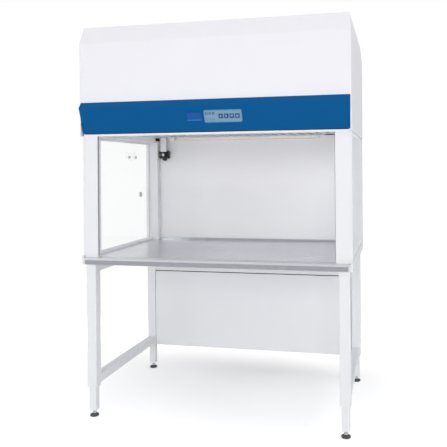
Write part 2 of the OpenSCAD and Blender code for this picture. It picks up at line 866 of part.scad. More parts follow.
// Sheet box that spreads the blower's air over the filter
module pressure_box() {
    chute = [blower_y + 50, blower_y + 150];
    color(steel) difference() {
        block([-filter_x + 5, filter_ys[0] + 5, z_filter], [filter_x - 5, filter_ys[1] - 5, z_plenum]);
        block([-filter_x + 5 + sheet_t, filter_ys[0] + 5 + sheet_t, z_filter - 1],
            [filter_x - 5 - sheet_t, filter_ys[1] - 5 - sheet_t, z_plenum - sheet_t]);
        block([-scroll_half + 4, chute[0], z_plenum - 2 * sheet_t],
            [scroll_half - 4, chute[1], z_plenum + 1]);
    }
}

// Spiral of the blower housing in Y and Z, with its outlet pointing down
module scroll_shape(inset) {
    out_r = scroll_r0 + scroll_grow - inset;
    spiral = [for (t = [0:10:300]) let(a = -60 - t, r = scroll_r0 + scroll_grow * t / 300 - inset)
        [r * cos(a), r * sin(a)]];
    chute = [[out_r, z_plenum - blower_z - (inset > 0 ? 1 : 0)],
        [scroll_r0 / 2 + inset, z_plenum - blower_z - (inset > 0 ? 1 : 0)]];
    polygon(concat(spiral, chute));
}

// Sheet housing of the blower with a round air inlet on each side
module blower_housing() {
    color(steel) translate([0, blower_y, blower_z]) difference() {
        along_x(-scroll_half, scroll_half) scroll_shape(0);
        along_x(-scroll_half + sheet_t, scroll_half - sheet_t) scroll_shape(sheet_t);
        along_x(-scroll_half - 1, scroll_half + 1) circle(wheel_r - blade_d + 8);
    }
}

// Drum wheel with forward curved blades between end rings, a centre disc, a hub and the shaft
module blower_wheel() {
    ring_r = wheel_r - blade_d;
    blade = [[0, 0], [8, -2.6], [15, -2.4], [21, 0], [21, 1.4], [15, -0.9], [8, -1.1], [0, 1.4]];
    color(steel) translate([0, blower_y, blower_z]) {
        for (x = [-wheel_w / 2, wheel_w / 2 - 3]) along_x(x, x + 3) difference() {
            circle(wheel_r);
            circle(ring_r);
        }
        along_x(-wheel_w / 2, wheel_w / 2)
            for (i = [0:blade_count - 1]) rotate(i * 360 / blade_count)
                translate([ring_r + 1, 0]) rotate(28) polygon(blade);
        along_x(-1.5, 1.5) circle(ring_r + 4);
        along_x(-18, 18) circle(shaft_r + 12);
        along_x(motor_x - 30, 18 + lap) circle(shaft_r);
    }
}

// Motor on four arms from the inlet ring of the housing
module blower_motor() {
    arm_r = wheel_r - 2;
    color("#6e7378") translate([0, blower_y, blower_z]) {
        difference() {
            union() {
                along_x(motor_x - motor_l, motor_x) circle(motor_r);
                along_x(motor_x - motor_l - 8, motor_x - motor_l + lap) circle(motor_r * 0.8);
                along_x(motor_x - motor_arm_t, motor_x) for (a = [45:90:315]) rotate(a)
                    translate([motor_r - 6, -motor_arm_w / 2]) square([arm_r - motor_r + 6, motor_arm_w]);
            }
            along_x(motor_x - 40, motor_x + 1) circle(shaft_r + thread_play);
        }
        along_x(motor_x - motor_arm_t, -scroll_half) for (a = [45:90:315]) rotate(a)
            translate([arm_r - 8, -motor_arm_w / 2]) square([8, motor_arm_w]);
    }
}

// Coarse filter pad in a frame under the roof opening
module pre_filter() {
    color("#d9d7cd") block([-vent_x - 15, vent_y[0] - 10, bench_h - sheet_t - pre_filter_h],
        [vent_x + 15, vent_y[1] + 10, bench_h - sheet_t]);
}

// Slotted grille, flush in the roof opening
module roof_grille() {
    slots = 16;
    edge = 16;
    pitch = 2 * (vent_x - edge) / slots;
    half_slot = pitch * 0.28;
    color(steel) difference() {
        block([-vent_x + joint_gap, vent_y[0] + joint_gap, bench_h - sheet_t],
            [vent_x - joint_gap, vent_y[1] - joint_gap, bench_h]);
        for (i = [0:slots - 1]) translate([-vent_x + edge + (i + 0.5) * pitch, 0, 0])
            block([-half_slot, vent_y[0] + edge, bench_h - 2 * sheet_t],
                [half_slot, vent_y[1] - edge, bench_h + 1]);
    }
}

// Lamp tube with a metal cap on each end, across the work zone
module lamp_tube(y) {
    color("#f2f4f5") translate([0, y, lamp_z]) {
        along_x(-lamp_half + 18, lamp_half - 18) circle(lamp_d / 2);
        both_sides() along_x(lamp_half - 20, lamp_half - 4) circle(lamp_d / 2 + 0.4);
    }
}

module uv_lamp() {
    lamp_tube(lamp_ys[0]);
}

module work_lamp() {
    lamp_tube(lamp_ys[1]);
}

// Holder at each end of both lamps, hung from the ceiling grille
module lamp_holders() {
    color("#e4e5e6") for (y = lamp_ys) both_sides() translate([0, y, lamp_z]) {
        along_x(lamp_half - 4, lamp_half + 8) circle(lamp_d / 2 + 2);
        block([lamp_half - 4, -10, 0], [lamp_half + 8, 10, z_ceiling - lamp_z]);
    }
}

// White post that hangs from the ceiling, with its fixing plate
module hanging_post() {
    color(white) {
        block([-hanger_x - hanger_w / 2, hanger_y - 4, z_ceiling - hanger_l],
            [-hanger_x + hanger_w / 2, hanger_y + 4, z_ceiling - lap]);
        block([-hanger_x - hanger_w / 2, hanger_y - 14, z_ceiling - 3],
            [-hanger_x + hanger_w / 2, hanger_y + 14, z_ceiling]);
    }
}

// Round clamp body under the post, bored for the knob's stud
module clamp_hub() {
    color(black) translate([-hanger_x, hanger_y, hub_z]) difference() {
        union() {
            rotate([90, 0, 0]) translate([0, 0, -hub_t / 2]) cylinder(r = hub_r, h = hub_t);
            block([-10, -4, 10], [10, 4, hub_r + 2]);
        }
        rotate([90, 0, 0]) translate([0, 0, -hub_t]) cylinder(r = clamp_stud_r + thread_play, h = 2 * hub_t);
    }
}

// Lobed knob behind the clamp body, with its stud and end cap
module clamp_knob() {
    lobe_r = knob_r * 0.27;
    face = hub_t / 2 + 0.3;
    color(black) translate([-hanger_x, hanger_y, hub_z]) rotate([-90, 0, 0]) {
        translate([0, 0, face]) linear_extrude(knob_t) {
            circle(knob_r * 0.76);
            for (a = [30:60:330]) rotate(a) translate([knob_r - lobe_r, 0]) circle(lobe_r);
        }
        translate([0, 0, -face - lap]) cylinder(r = clamp_stud_r, h = 2 * (face + lap));
        translate([0, 0, -face - 3]) cylinder(r = 9, h = 3);
    }
}

// Appliance inlet, set flush in the rear sheet, with three blade contacts in its pocket
module power_inlet() {
    color(black) translate([inlet_x, y1, inlet_z]) difference() {
        union() {
            block([-13.7, -30, -10], [13.7, 0, 10]);
            block([-25, -sheet_t - 3, -12], [25, -sheet_t, 12]);
        }
        difference() {
            block([-12, -18, -8], [12, 1, 8]);
            for (x = [-7, 0, 7]) block([x - 1, -19, x == 0 ? 1 : -4], [x + 1, -6, x == 0 ? 5 : 0]);
        }
    }
}

left_stand_frame();
right_stand_frame();
rear_cross_rail();
stand_rear_panel();
stand_bolts();
front_left_leg();
front_right_leg();
rear_left_leg();
rear_right_leg();
front_left_foot();
front_right_foot();
rear_left_foot();
rear_right_foot();
base_pan();
work_tray();
front_left_post();
front_right_post();
rear_left_post();
rear_right_post();
left_glass();
right_glass();
glazing_beads();
rubber_seals();
glass_plugs();
inner_back_wall();
lower_rear_panel();
ceiling_frame();
hood_front_cover();
hood_left_side();
hood_right_side();
hood_roof();
hood_rear_panel();
control_fascia();
display_window();
keypad_plate();
fan_key();
light_key();
uv_lamp_key();
socket_key();
down_key();
up_key();
menu_key();
indicator_lights();
controller_box();
ceiling_grille();
filter_frame();
filter_pleats();
pressure_box();
blower_housing();
blower_wheel();
blower_motor();
pre_filter();
roof_grille();
uv_lamp();
work_lamp();
lamp_holders();
hanging_post();
clamp_hub();
clamp_knob();
power_inlet();
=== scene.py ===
"""Looks of the laminar flow hood: finishes, detailed pieces, studio light and camera, in metres."""

import logging
import math
from abc import ABC, abstractmethod
from dataclasses import dataclass
from enum import Enum
from typing import Callable, Sequence

import bmesh
import bpy
from mathutils import Matrix, Vector


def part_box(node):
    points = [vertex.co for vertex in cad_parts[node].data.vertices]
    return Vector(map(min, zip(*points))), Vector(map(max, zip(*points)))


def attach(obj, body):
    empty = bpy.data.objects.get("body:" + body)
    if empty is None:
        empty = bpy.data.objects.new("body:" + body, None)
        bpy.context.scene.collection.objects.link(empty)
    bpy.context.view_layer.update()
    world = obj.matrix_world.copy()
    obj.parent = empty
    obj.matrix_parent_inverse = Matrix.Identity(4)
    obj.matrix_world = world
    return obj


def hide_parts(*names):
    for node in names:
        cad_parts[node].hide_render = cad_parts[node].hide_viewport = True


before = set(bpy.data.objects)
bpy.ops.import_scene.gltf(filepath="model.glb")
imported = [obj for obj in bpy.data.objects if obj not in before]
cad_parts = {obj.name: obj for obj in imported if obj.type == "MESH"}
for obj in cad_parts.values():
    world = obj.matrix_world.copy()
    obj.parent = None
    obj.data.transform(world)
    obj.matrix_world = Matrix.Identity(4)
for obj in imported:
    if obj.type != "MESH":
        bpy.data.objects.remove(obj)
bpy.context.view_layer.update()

log = logging.getLogger("flow_hood")

MM = 0.001
Colour = tuple[float, float, float, float]
Point = tuple[float, float, float]
Flat = Sequence[tuple[float, float]]
Line = tuple[tuple[float, float], ...]
Tree = bpy.types.NodeTree
Socket = bpy.types.NodeSocket
Piece = bpy.types.Object
Work = bmesh.types.BMesh

BENCH = "bench"
WHITE: Colour = (1.0, 1.0, 1.0, 1.0)
# Corners that lie closer than this are one, and faces that meet flatter than this are one
MERGE_MM = 0.01
FLAT_DEG = 0.6
# Edges sharper than these are shaded sharp, or rounded off
SHARP_DEG = 35.0
BEVEL_DEG = 32.0
# The least share of a width that a mitred corner of an outline or a line of ink keeps
OUTLINE_MITRE = 0.3
INK_MITRE = 0.4
# How far ink reaches under and over the face that it is printed on
INK_MM = (0.02, 0.08)
UPRIGHT = Matrix.Rotation(math.pi / 2, 4, "X")
FACING_BACK = Matrix.Rotation(-math.pi / 2, 4, "X")


def srgb(code: str, alpha: float = 1.0) -> Colour:
    """Turns an sRGB hex colour into the linear values that a shader takes.

    Args:
        code: Six hex digits, with or without a leading number sign.
        alpha: Opacity, from 0 to 1.

    Returns:
        Linear red, green and blue, and the opacity.
    """
    digits = code.lstrip("#")
    shares = [int(digits[i : i + 2], 16) / 255 for i in (0, 2, 4)]
    linear = [s / 12.92 if s <= 0.04045 else ((s + 0.055) / 1.055) ** 2.4 for s in shares]
    return (linear[0], linear[1], linear[2], alpha)


def per_metre(millimetres: float) -> float:
    """Turns the real size of one pattern cell into a texture scale."""
    return 1 / (millimetres * MM)


def add(
    tree: bpy.types.NodeTree,
    kind: str,
    values: dict | None = None,
    links: dict | None = None,
    **settings: object,
) -> bpy.types.Node:
    """Adds one node to a tree.

    Args:
        tree: The node tree that gets it.
        kind: Blender's name of the node's kind.
        values: Fixed values, by input name or number.
        links: Output sockets that feed its inputs, by input name or number.
        settings: The node's own properties.

    Returns:
        The new node.
    """
    node = tree.nodes.new(kind)
    for key, value in settings.items():
        setattr(node, key, value)
    for key, value in (values or {}).items():
        node.inputs[key].default_value = value
    for key, source in (links or {}).items():
        tree.links.new(source, node.inputs[key])
    return node


def empty_tree(owner: bpy.types.Material | bpy.types.World) -> Tree:
    """Returns a material's or world's node tree, cleared."""
    owner.use_nodes = True
    owner.node_tree.nodes.clear()
    return owner.node_tree


def maths(tree: Tree, operation: str, first: Socket, second: Socket | float, **more: bool) -> Socket:
    """Adds a sum of a socket and a second socket or a fixed number, and returns its result."""
    fixed = isinstance(second, float)
    values = {1: second} if fixed else None
    links = {0: first} if fixed else {0: first, 1: second}
    return add(tree, "ShaderNodeMath", values, links, operation=operation, **more).outputs[0]


def ramp(
    tree: Tree, source: Socket, low: float, high: float, start: float = 0.0, end: float = 1.0
) -> Socket:
    """Returns an even change from low to high while the source goes from start to end."""
    values = {1: start, 2: end, 3: low, 4: high}
    return add(tree, "ShaderNodeMapRange", values, {0: source}).outputs[0]


def mixed(tree: Tree, share: Socket, first: Socket, second: Socket) -> Socket:
    """Returns two shaders mixed by a share."""
    links = {0: share, 1: first, 2: second}
    return add(tree, "ShaderNodeMixShader", links=links).outputs["Shader"]


def glow(tree: Tree, colour: Colour, strength: Socket | None = None) -> Socket:
    """Returns an even glow, at strength 1 or as strong as a socket says."""
    links = None if strength is None else {"Strength": strength}
    values = {"Color": colour, "Strength": 1.0}
    return add(tree, "ShaderNodeEmission", values, links).outputs["Emission"]


def seen(tree: Tree) -> Socket:
    """Returns 1 for what the camera sees straight, through glass or mirrored, and 0 for light."""
    path = add(tree, "ShaderNodeLightPath").outputs
    straight = maths(tree, "MAXIMUM", path["Is Camera Ray"], path["Is Transmission Ray"])
    return maths(tree, "MAXIMUM", straight, path["Is Glossy Ray"])


@dataclass(frozen=True)
class Wires:
    """A material's node tree and main shader, with the wiring that the finishes share."""

    tree: Tree
    shader: bpy.types.Node

    def place(self) -> Socket:
        """Returns the point on the piece, in metres."""
        return add(self.tree, "ShaderNodeTexCoord").outputs["Object"]

    def noise(self, place: Socket, cell_mm: float, detail: float, roughness: float = 0.5) -> Socket:
        """Returns an uneven pattern with cells of a real size."""
        values = {"Scale": per_metre(cell_mm), "Detail": detail, "Roughness": roughness}
        return add(self.tree, "ShaderNodeTexNoise", values, {"Vector": place}).outputs["Fac"]

    def blend(self, share: Socket, first: Colour, second: Colour) -> None:
        """Wires two colours, mixed by a pattern, into the base colour."""
        values = {6: first, 7: second}
        tone = add(self.tree, "ShaderNodeMix", values, {0: share}, data_type="RGBA")
        self.tree.links.new(tone.outputs[2], self.shader.inputs["Base Color"])

    def darken(self, share: Socket, code: str, loss: float) -> None:
        """Wires in a colour that loses up to a part of its light by a pattern."""
        plain = srgb(code)
        self.blend(share, plain, tuple(c * (1 - loss) for c in plain[:3]) + (1.0,))

    def gloss(self, share: Socket, low: float, high: float) -> None:
        """Wires a roughness that a pattern moves between two values."""
        self.tree.links.new(ramp(self.tree, share, low, high), self.shader.inputs["Roughness"])

    def relief(self, share: Socket, strength: float, depth_mm: float) -> None:
        """Wires a pattern into the surface's relief."""
        values = {"Strength": strength, "Distance": depth_mm * MM}
        bump = add(self.tree, "ShaderNodeBump", values, {"Height": share})
        self.tree.links.new(bump.outputs["Normal"], self.shader.inputs["Normal"])


@dataclass(frozen=True)
class Finish(ABC):
    """A surface finish, made once and shared by the pieces that have it."""

    name: str
    colour: str
    roughness: float = 0.4
    specular: float = 0.5

    @abstractmethod
    def build(self, wires: Wires) -> None:
        """Wires the finish's own pattern into the shader."""

    def surface(self, wires: Wires) -> Socket:
        """Returns the socket that becomes the material's surface."""
        return wires.shader.outputs["BSDF"]

    def material(self) -> bpy.types.Material:
        """Returns the finish's material, made at the first call."""
        known = bpy.data.materials.get(self.name)
        if known:
            return known
        made = bpy.data.materials.new(self.name)
        tree = empty_tree(made)
        values = {
            "Base Color": srgb(self.colour),
            "Roughness": self.roughness,
            "Specular IOR Level": self.specular,
        }
        wires = Wires(tree, add(tree, "ShaderNodeBsdfPrincipled", values))
        self.build(wires)
        add(tree, "ShaderNodeOutputMaterial", links={"Surface": self.surface(wires)})
        return made


@dataclass(frozen=True)
class PowderCoat(Finish):
    """Polyester powder baked on steel: an even colour under a faint orange peel.

    The colour drifts a little where the powder lies thicker, and the gloss with it.
    """

    drift: float = 0.03
    peel_mm: float = 5.0
    cloud_mm: float = 260.0
    peel_height_mm: float = 0.05

    def build(self, wires: Wires) -> None:
        """Wires cloudy colour, uneven gloss and orange peel."""
        place = wires.place()
        wires.darken(wires.noise(place, self.cloud_mm, 3.0), self.colour, self.drift)
        # Orange peel is 1 to 2 mm across on the real sheet and drawn coarser, so that it shows
        peel = wires.noise(place, self.peel_mm, 2.0)
        wires.gloss(peel, self.roughness - 0.05, self.roughness + 0.05)
        wires.relief(peel, 0.35, self.peel_height_mm)


@dataclass(frozen=True)
class BrushedSteel(Finish):
    """Sheet brushed with an abrasive belt: fine straight lines that stretch its reflections."""

    # How much finer the pattern is along X, Y and Z, so that its lines run along X
    grain: Point = (1.0, 70.0, 70.0)
    line_mm: float = 1.6
    depth: float = 0.12
    stretch: float = 0.55

    def build(self, wires: Wires) -> None:
        """Wires brush lines into colour, gloss and relief."""
        wires.shader.inputs["Metallic"].default_value = 1.0
        wires.shader.inputs["Anisotropic"].default_value = self.stretch
        place = {"Vector": wires.place()}
        lines = add(wires.tree, "ShaderNodeMapping", {"Scale": self.grain}, place)
        # Brush lines are some hundredths of a millimetre wide and drawn coarser, so that they show
        cell_mm = self.line_mm * self.grain[1]
        streak = wires.noise(lines.outputs["Vector"], cell_mm, 5.0)
        wires.darken(streak, self.colour, self.depth)
        wires.gloss(streak, self.roughness - 0.07, self.roughness + 0.07)
        wires.relief(streak, 0.2, 0.02)


@dataclass(frozen=True)
class ZincSheet(Finish):
    """Zinc plated or galvanised steel: grey metal with soft crystal patches."""

    patch_mm: float = 9.0
    depth: float = 0.2

    def build(self, wires: Wires) -> None:
        """Wires crystal patches into colour and gloss."""
        wires.shader.inputs["Metallic"].default_value = 1.0
        values, links = {"Scale": per_metre(self.patch_mm)}, {"Vector": wires.place()}
        patch = add(wires.tree, "ShaderNodeTexVoronoi", values, links, feature="SMOOTH_F1")
        wires.darken(patch.outputs["Distance"], self.colour, self.depth)
        wires.gloss(patch.outputs["Distance"], self.roughness - 0.08, self.roughness + 0.1)


@dataclass(frozen=True)
class Moulded(Finish):
    """Injection moulded plastic or rubber: an even colour with the fine grain of an etched mould."""

    grain_mm: float = 1.2
    grain_height_mm: float = 0.04
    coat: float = 0.0
    spread: float = 0.12

    def build(self, wires: Wires) -> None:
        """Wires mould grain and a slight unevenness of colour and gloss."""
        wires.shader.inputs["Coat Weight"].default_value = self.coat
        grain = wires.noise(wires.place(), self.grain_mm, 2.0)
        wires.darken(grain, self.colour, self.spread)
        wires.gloss(grain, max(self.roughness - 0.06, 0.02), self.roughness + 0.06)
        wires.relief(grain, 0.4, self.grain_height_mm)


@dataclass(frozen=True)
class ClearGlass(Finish):
    """Float or quartz glass: clear, with a trace of haze where it was wiped."""

    ior: float = 1.5
    smear_mm: float = 120.0
    haze: float = 0.02

    def build(self, wires: Wires) -> None:
        """Wires wiping haze into the gloss."""
        wires.shader.inputs["Transmission Weight"].default_value = 1.0
        wires.shader.inputs["IOR"].default_value = self.ior
        wires.gloss(wires.noise(wires.place(), self.smear_mm, 2.0), 0.0, self.haze)

    def surface(self, wires: Wires) -> Socket:
        """Lets the lamps shine through, as thin clear glass does."""
        path = add(wires.tree, "ShaderNodeLightPath")
        clear = add(wires.tree, "ShaderNodeBsdfTransparent").outputs["BSDF"]
        return mixed(wires.tree, path.outputs["Is Shadow Ray"], wires.shader.outputs["BSDF"], clear)


@dataclass(frozen=True)
class Screen(Finish):
    """Tinted acrylic over a lit display: deep blue, with a painted glow of the backlight at its lower
    edge.
    """

    # Colour of the painted glow of the backlight, which is no lamp
    glow: str = "#2f8fe0"
    low_mm: float = 1464.0
    high_mm: float = 1474.0
    scan_mm: float = 2.4
    scan_share: float = 0.12

    def build(self, wires: Wires) -> None:
        """Wires the painted glow of the backlight, strongest at the lower edge, over faint scan
        lines.
        """
        tree, place = wires.tree, wires.place()
        height = add(tree, "ShaderNodeSeparateXYZ", links={0: place}).outputs["Z"]
        backlight_painted_glow = ramp(tree, height, 1.0, 0.0, self.low_mm * MM, self.high_mm * MM)
        values = {"Scale": per_metre(self.scan_mm) / math.tau, "Distortion": 0.0}
        lines = add(tree, "ShaderNodeTexWave", values, {"Vector": place}, bands_direction="Z")
        faint = maths(tree, "MULTIPLY", lines.outputs["Fac"], self.scan_share)
        share = maths(tree, "ADD", backlight_painted_glow, faint, use_clamp=True)
        wires.blend(share, srgb(self.colour), srgb(self.glow))


@dataclass(frozen=True)
class Paper(Finish):
    """Glass fibre paper or a fleece pad: matt, with loose fibres in it."""

    fibre_mm: float = 2.0
    depth: float = 0.2

    def build(self, wires: Wires) -> None:
        """Wires fibres into colour and relief."""
        fibre = wires.noise(wires.place(), self.fibre_mm, 6.0, 0.7)
        wires.darken(fibre, self.colour, self.depth)
        wires.relief(fibre, 0.5, 0.3)


# Steel sheet with a white epoxy polyester powder coat: bright, slightly blue, satin
WHITE_COAT = PowderCoat("white_powder_coated_steel", "#f0f0f5", 0.45, 0.35)
# The same coat on the stand's tubes and the posts, a little duller, and a shade darker as painted
# shade
SHADED_STAND_COAT = PowderCoat("white_powder_coated_tube_painted_shade", "#eeeff2", 0.48, 0.35)
# The same coat on the sheets round the work zone, the brightest white, as painted light against the
# shade inside the hood
LIT_WALL_COAT = PowderCoat("white_powder_coated_wall_painted_light", "#f2f2f6", 0.44, 0.35)
# Blue powder coat of the fascia: deep, even, low gloss
BLUE_COAT = PowderCoat("blue_powder_coated_steel", "#005995", 0.5, 0.08, drift=0.06)
# Slotted ceiling sheet, a warmer white than the walls
GRILLE_COAT = PowderCoat("warm_white_powder_coated_grille", "#e3e1dc", 0.5, 0.35)
# AISI 304 sheet with a number 4 brushed finish: pale metal that mirrors softly
TRAY_STEEL = BrushedSteel("brushed_stainless_steel_304", "#dcdde2", 0.28)
# Zinc plated bolts, studs and nuts: cool grey with soft patches
ZINC = ZincSheet("zinc_plated_steel", "#b9bbbd", 0.36)
# Galvanised sheet inside the hood, with larger and duller patches
GALVANISED = ZincSheet("galvanised_sheet", "#a9adb0", 0.45, patch_mm=16.0)
# Extruded aluminium of the filter frame and the roof grille, mill finish: grey, drawn lines
ALUMINIUM = BrushedSteel("mill_finish_aluminium", "#c9ccd0", 0.38, line_mm=2.2)
# Brass contacts of the inlet, drawn and nickel free: warm and bright
BRASS = BrushedSteel("drawn_brass", "#c8a765", 0.3, line_mm=0.8)
# EPDM rubber of gaskets and plugs: dull black; also the dark strips that stand for painted shade in
# narrow gaps
RUBBER_AND_PAINTED_SHADE = Moulded("black_epdm_rubber_and_painted_shade", "#1c1d1f", 0.72, 0.3, grain_mm=0.9)
# Plugs of the glass, pale grey rubber, matt
GREY_RUBBER = Moulded("grey_epdm_rubber", "#dcdddf", 0.7, 0.3, grain_mm=0.9, spread=0.05)
# Lamp holders and lamp caps, white ABS with a satin skin
WHITE_ABS = Moulded("white_moulded_abs", "#e6e7e8", 0.45, spread=0.04)
# Foot pads, glass filled nylon with a matt mould skin
FOOT_NYLON = Moulded("grey_moulded_nylon", "#4b4c4e", 0.55)
# Knob, clamp hub and inlet, black ABS with a satin skin
BLACK_ABS = Moulded("black_moulded_abs", "#17181a", 0.42)
# Toughened float glass, clear, with weak reflections
FLOAT_GLASS = ClearGlass("toughened_float_glass", "#feffff", 0.0, ior=1.2)
# Drawn quartz tube of the UV lamp, quite clear
QUARTZ = ClearGlass("drawn_quartz_glass", "#fffdfb", 0.0, smear_mm=60.0, ior=1.12)
# Printed polyester film of the keypad, matt
KEY_FILM = Moulded(
    "printed_polyester_film", "#7aa2be", 0.5, 0.15, grain_height_mm=0.01, spread=0.04
)
# The lighter film of the small keys and of the symbols on the large ones
KEY_WINDOW = Moulded(
    "pale_polyester_film", "#a9c6da", 0.45, 0.2, grain_height_mm=0.01, spread=0.04
)
# Dark blue screen print on the film, matt
PRINT_BLUE = Moulded(
    "dark_blue_screen_print", "#0c2d6e", 0.5, 0.1, grain_height_mm=0.005, spread=0.04
)
# Acrylic window over the display, glossy
DISPLAY = Screen("tinted_acrylic_window", "#14509c", 0.15, 0.3)
# Rim round the display, moulded with the window
DISPLAY_RIM = Moulded(
    "dark_blue_moulded_rim", "#0b4a8a", 0.4, 0.2, grain_height_mm=0.01, spread=0.04
)
# Clear lens of an indicator
LENS = Moulded("clear_acrylic_lens", "#d9e8f2", 0.15, grain_height_mm=0.002, coat=0.5, spread=0.04)
# Painted motor and board box: dark enamel
DARK_PAINT = PowderCoat("dark_grey_enamel", "#3c4044", 0.4)
# Pleated filter medium, dull and fibrous
FILTER_PAPER = Paper("glass_fibre_paper", "#efeee8", 0.9)
# Coarse pad of the air intake
FLEECE = Paper("polyester_fleece", "#cfcdc4", 0.95, fibre_mm=4.0)
# Opal tube of the work lamp: white, glossy
OPAL_GLASS = Moulded(
    "opal_coated_glass", "#f3f5f5", 0.2, grain_height_mm=0.002, coat=0.3, spread=0.02
)


def add_object(name: str, data: bpy.types.ID) -> Piece:
    """Adds an object to the scene."""
    made = bpy.data.objects.new(name, data)
    bpy.context.scene.collection.objects.link(made)
    return made


def copy_of(node: str, name: str) -> Piece:
    """Copies a CAD node's mesh into a new object with joined corners and whole flat faces.

    Args:
        node: The CAD node.
        name: The new object's name.

    Returns:
        The new object, not yet on a body.
    """
    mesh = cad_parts[node].data.copy()
    mesh.name = name
    piece = add_object(name, mesh)
    work = bmesh.new()
    work.from_mesh(mesh)
    bmesh.ops.remove_doubles(work, verts=work.verts, dist=MERGE_MM * MM)
    limit = math.radians(FLAT_DEG)
    bmesh.ops.dissolve_limit(
        work, angle_limit=limit, verts=work.verts, edges=work.edges, delimit={"NORMAL"}
    )
    work.to_mesh(mesh)
    work.free()
    mesh.materials.clear()
    return piece


def settle(piece: Piece) -> None:
    """Turns a piece's modifiers into its mesh."""
    view = bpy.context.evaluated_depsgraph_get()
    done = bpy.data.meshes.new_from_object(piece.evaluated_get(view))
    old = piece.data
    done.name = piece.name
    piece.modifiers.clear()
    piece.data = done
    bpy.data.meshes.remove(old)


def smooth_by_angle(mesh: bpy.types.Mesh) -> None:
    """Shades a mesh smooth, with its sharp edges kept."""
    work = bmesh.new()
    work.from_mesh(mesh)
    limit = math.radians(SHARP_DEG)
    for face in work.faces:
        face.smooth = True
    for edge in work.edges:
        edge.smooth = len(edge.link_faces) == 2 and edge.calc_face_angle(math.pi) < limit
    work.to_mesh(mesh)
    work.free()


def new_piece(name: str, work: Work, finish: Finish) -> Piece:
    """Makes an object from a finished mesh.

    Args:
        name: The object's name.
        work: Its mesh, which is freed.
        finish: Its surface.

    Returns:
        The new object, not yet on a body.
    """
    mesh = bpy.data.meshes.new(name)
    bmesh.ops.recalc_face_normals(work, faces=work.faces)
    work.to_mesh(mesh)
    work.free()
    mesh.materials.append(finish.material())
    smooth_by_angle(mesh)
    piece = add_object(name, mesh)
    log.info("made %s", name)
    return piece


def dress(node: str, finish: Finish) -> None:
    """Gives a CAD node's own mesh a finish."""
    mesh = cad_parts[node].data
    mesh.materials.clear()
    mesh.materials.append(finish.material())
    log.info("dressed %s", node)


def soften(
    node: str, finish: Finish, width_mm: float, body: str, steps: int = 2
) -> Piece:
    """Stands a copy with rounded edges in a CAD node's place.

    Args:
        node: The CAD node.
        finish: The copy's surface.
        width_mm: Width of the rounding, at the most.
        body: The body that it rides on.
        steps: Faces across one rounding.

    Returns:
        The rounded copy.
    """
    piece = copy_of(node, node + "_sheet")
    edge = piece.modifiers.new("edge", "BEVEL")
    edge.width = width_mm * MM
    edge.segments = steps
    edge.limit_method = "ANGLE"
    edge.angle_limit = math.radians(BEVEL_DEG)
    edge.use_clamp_overlap = True
    settle(piece)
    smooth_by_angle(piece.data)
    even = piece.modifiers.new("even", "WEIGHTED_NORMAL")
    even.keep_sharp = True
    settle(piece)
    piece.data.materials.append(finish.material())
    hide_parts(node)
    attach(piece, body)
    log.info("rounded %s", node)
    return piece


def centre(node: str) -> Vector:
    """Returns the middle of a CAD node's box."""
    low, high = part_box(node)
    return (Vector(low) + Vector(high)) / 2


def draw_in(piece: Piece, middle: Vector, wide: float, deep: float) -> None:
    """Draws a piece in towards its own upright axis, to a share of its width and depth."""
    for vert in piece.data.vertices:
        vert.co.x = middle.x + (vert.co.x - middle.x) * wide
        vert.co.y = middle.y + (vert.co.y - middle.y) * deep


def skin(work: Work, rings: list[list[bmesh.types.BMVert]], loop: bool = False) -> None:
    """Lays faces from ring to ring.

    Args:
        work: The mesh.
        rings: Rings with the same number of points, in order.
        loop: Whether the last ring joins the first; otherwise both are closed with a face.
    """
    pairs = list(zip(rings, rings[1:]))
    if loop:
        pairs.append((rings[-1], rings[0]))
    for low, high in pairs:
        for i in range(len(low)):
            j = (i + 1) % len(low)
            work.faces.new((low[i], low[j], high[j], high[i]))
    if not loop:
        work.faces.new(list(reversed(rings[0])))
        work.faces.new(rings[-1])


def turned(
    name: str,
    stations: Flat,
    reach: Callable[[float, float, float], float],
    steps: int,
    place: Matrix,
    finish: Finish,
    hollow: bool = False,
) -> Piece:
    """Makes a closed turned, threaded or lobed form round an axis.

    Args:
        name: The object's name.
        stations: Height and base radius of each ring in mm, from one end to the other.
        reach: Radius in mm at an angle, a height and a base radius.
        steps: Points round one ring.
        place: Where its axis stands, in metres.
        finish: Its surface.
        hollow: Whether the last ring joins the first, which makes a pipe.

    Returns:
        The new object, not yet on a body.
    """
    work = bmesh.new()
    rings = []
    for height, base in stations:
        ring = []
        for i in range(steps):
            angle = math.tau * i / steps
            r = reach(angle, height, base)
            point = Vector((r * math.cos(angle), r * math.sin(angle), height)) * MM
            ring.append(work.verts.new(place @ point))
        rings.append(ring)
    skin(work, rings, hollow)
    return new_piece(name, work, finish)


def round_reach(_angle: float, _height: float, base: float) -> float:
    """Keeps a turned form round."""
    return base


def inset(outline: Flat, depth: float) -> list[tuple[float, float]]:
    """Moves an outline that runs anticlockwise inwards.

    Args:
        outline: Its points, in mm.
        depth: The distance, in mm.

    Returns:
        The moved points.
    """
    moved = []
    for i, point in enumerate(outline):
        here = Vector(point)
        before = (here - Vector(outline[i - 1])).normalized()
        after = (Vector(outline[(i + 1) % len(outline)]) - here).normalized()
        inward = Vector((-before.y - after.y, before.x + after.x)).normalized()
        share = max(inward.dot(Vector((-before.y, before.x))), OUTLINE_MITRE)
        moved.append(tuple(here + inward * depth / share))
    return moved


def rounded(width: float, height: float, radius: float, steps: int = 6) -> list[tuple[float, float]]:
    """Returns a rectangle with round corners about the origin, anticlockwise, in mm."""
    points = []
    for quarter, (sx, sy) in enumerate(((1, 1), (-1, 1), (-1, -1), (1, -1))):
        x, y = sx * (width / 2 - radius), sy * (height / 2 - radius)
        for i in range(steps + 1):
            angle = math.tau * (quarter + i / steps) / 4
            points.append((x + radius * math.cos(angle), y + radius * math.sin(angle)))
    return points


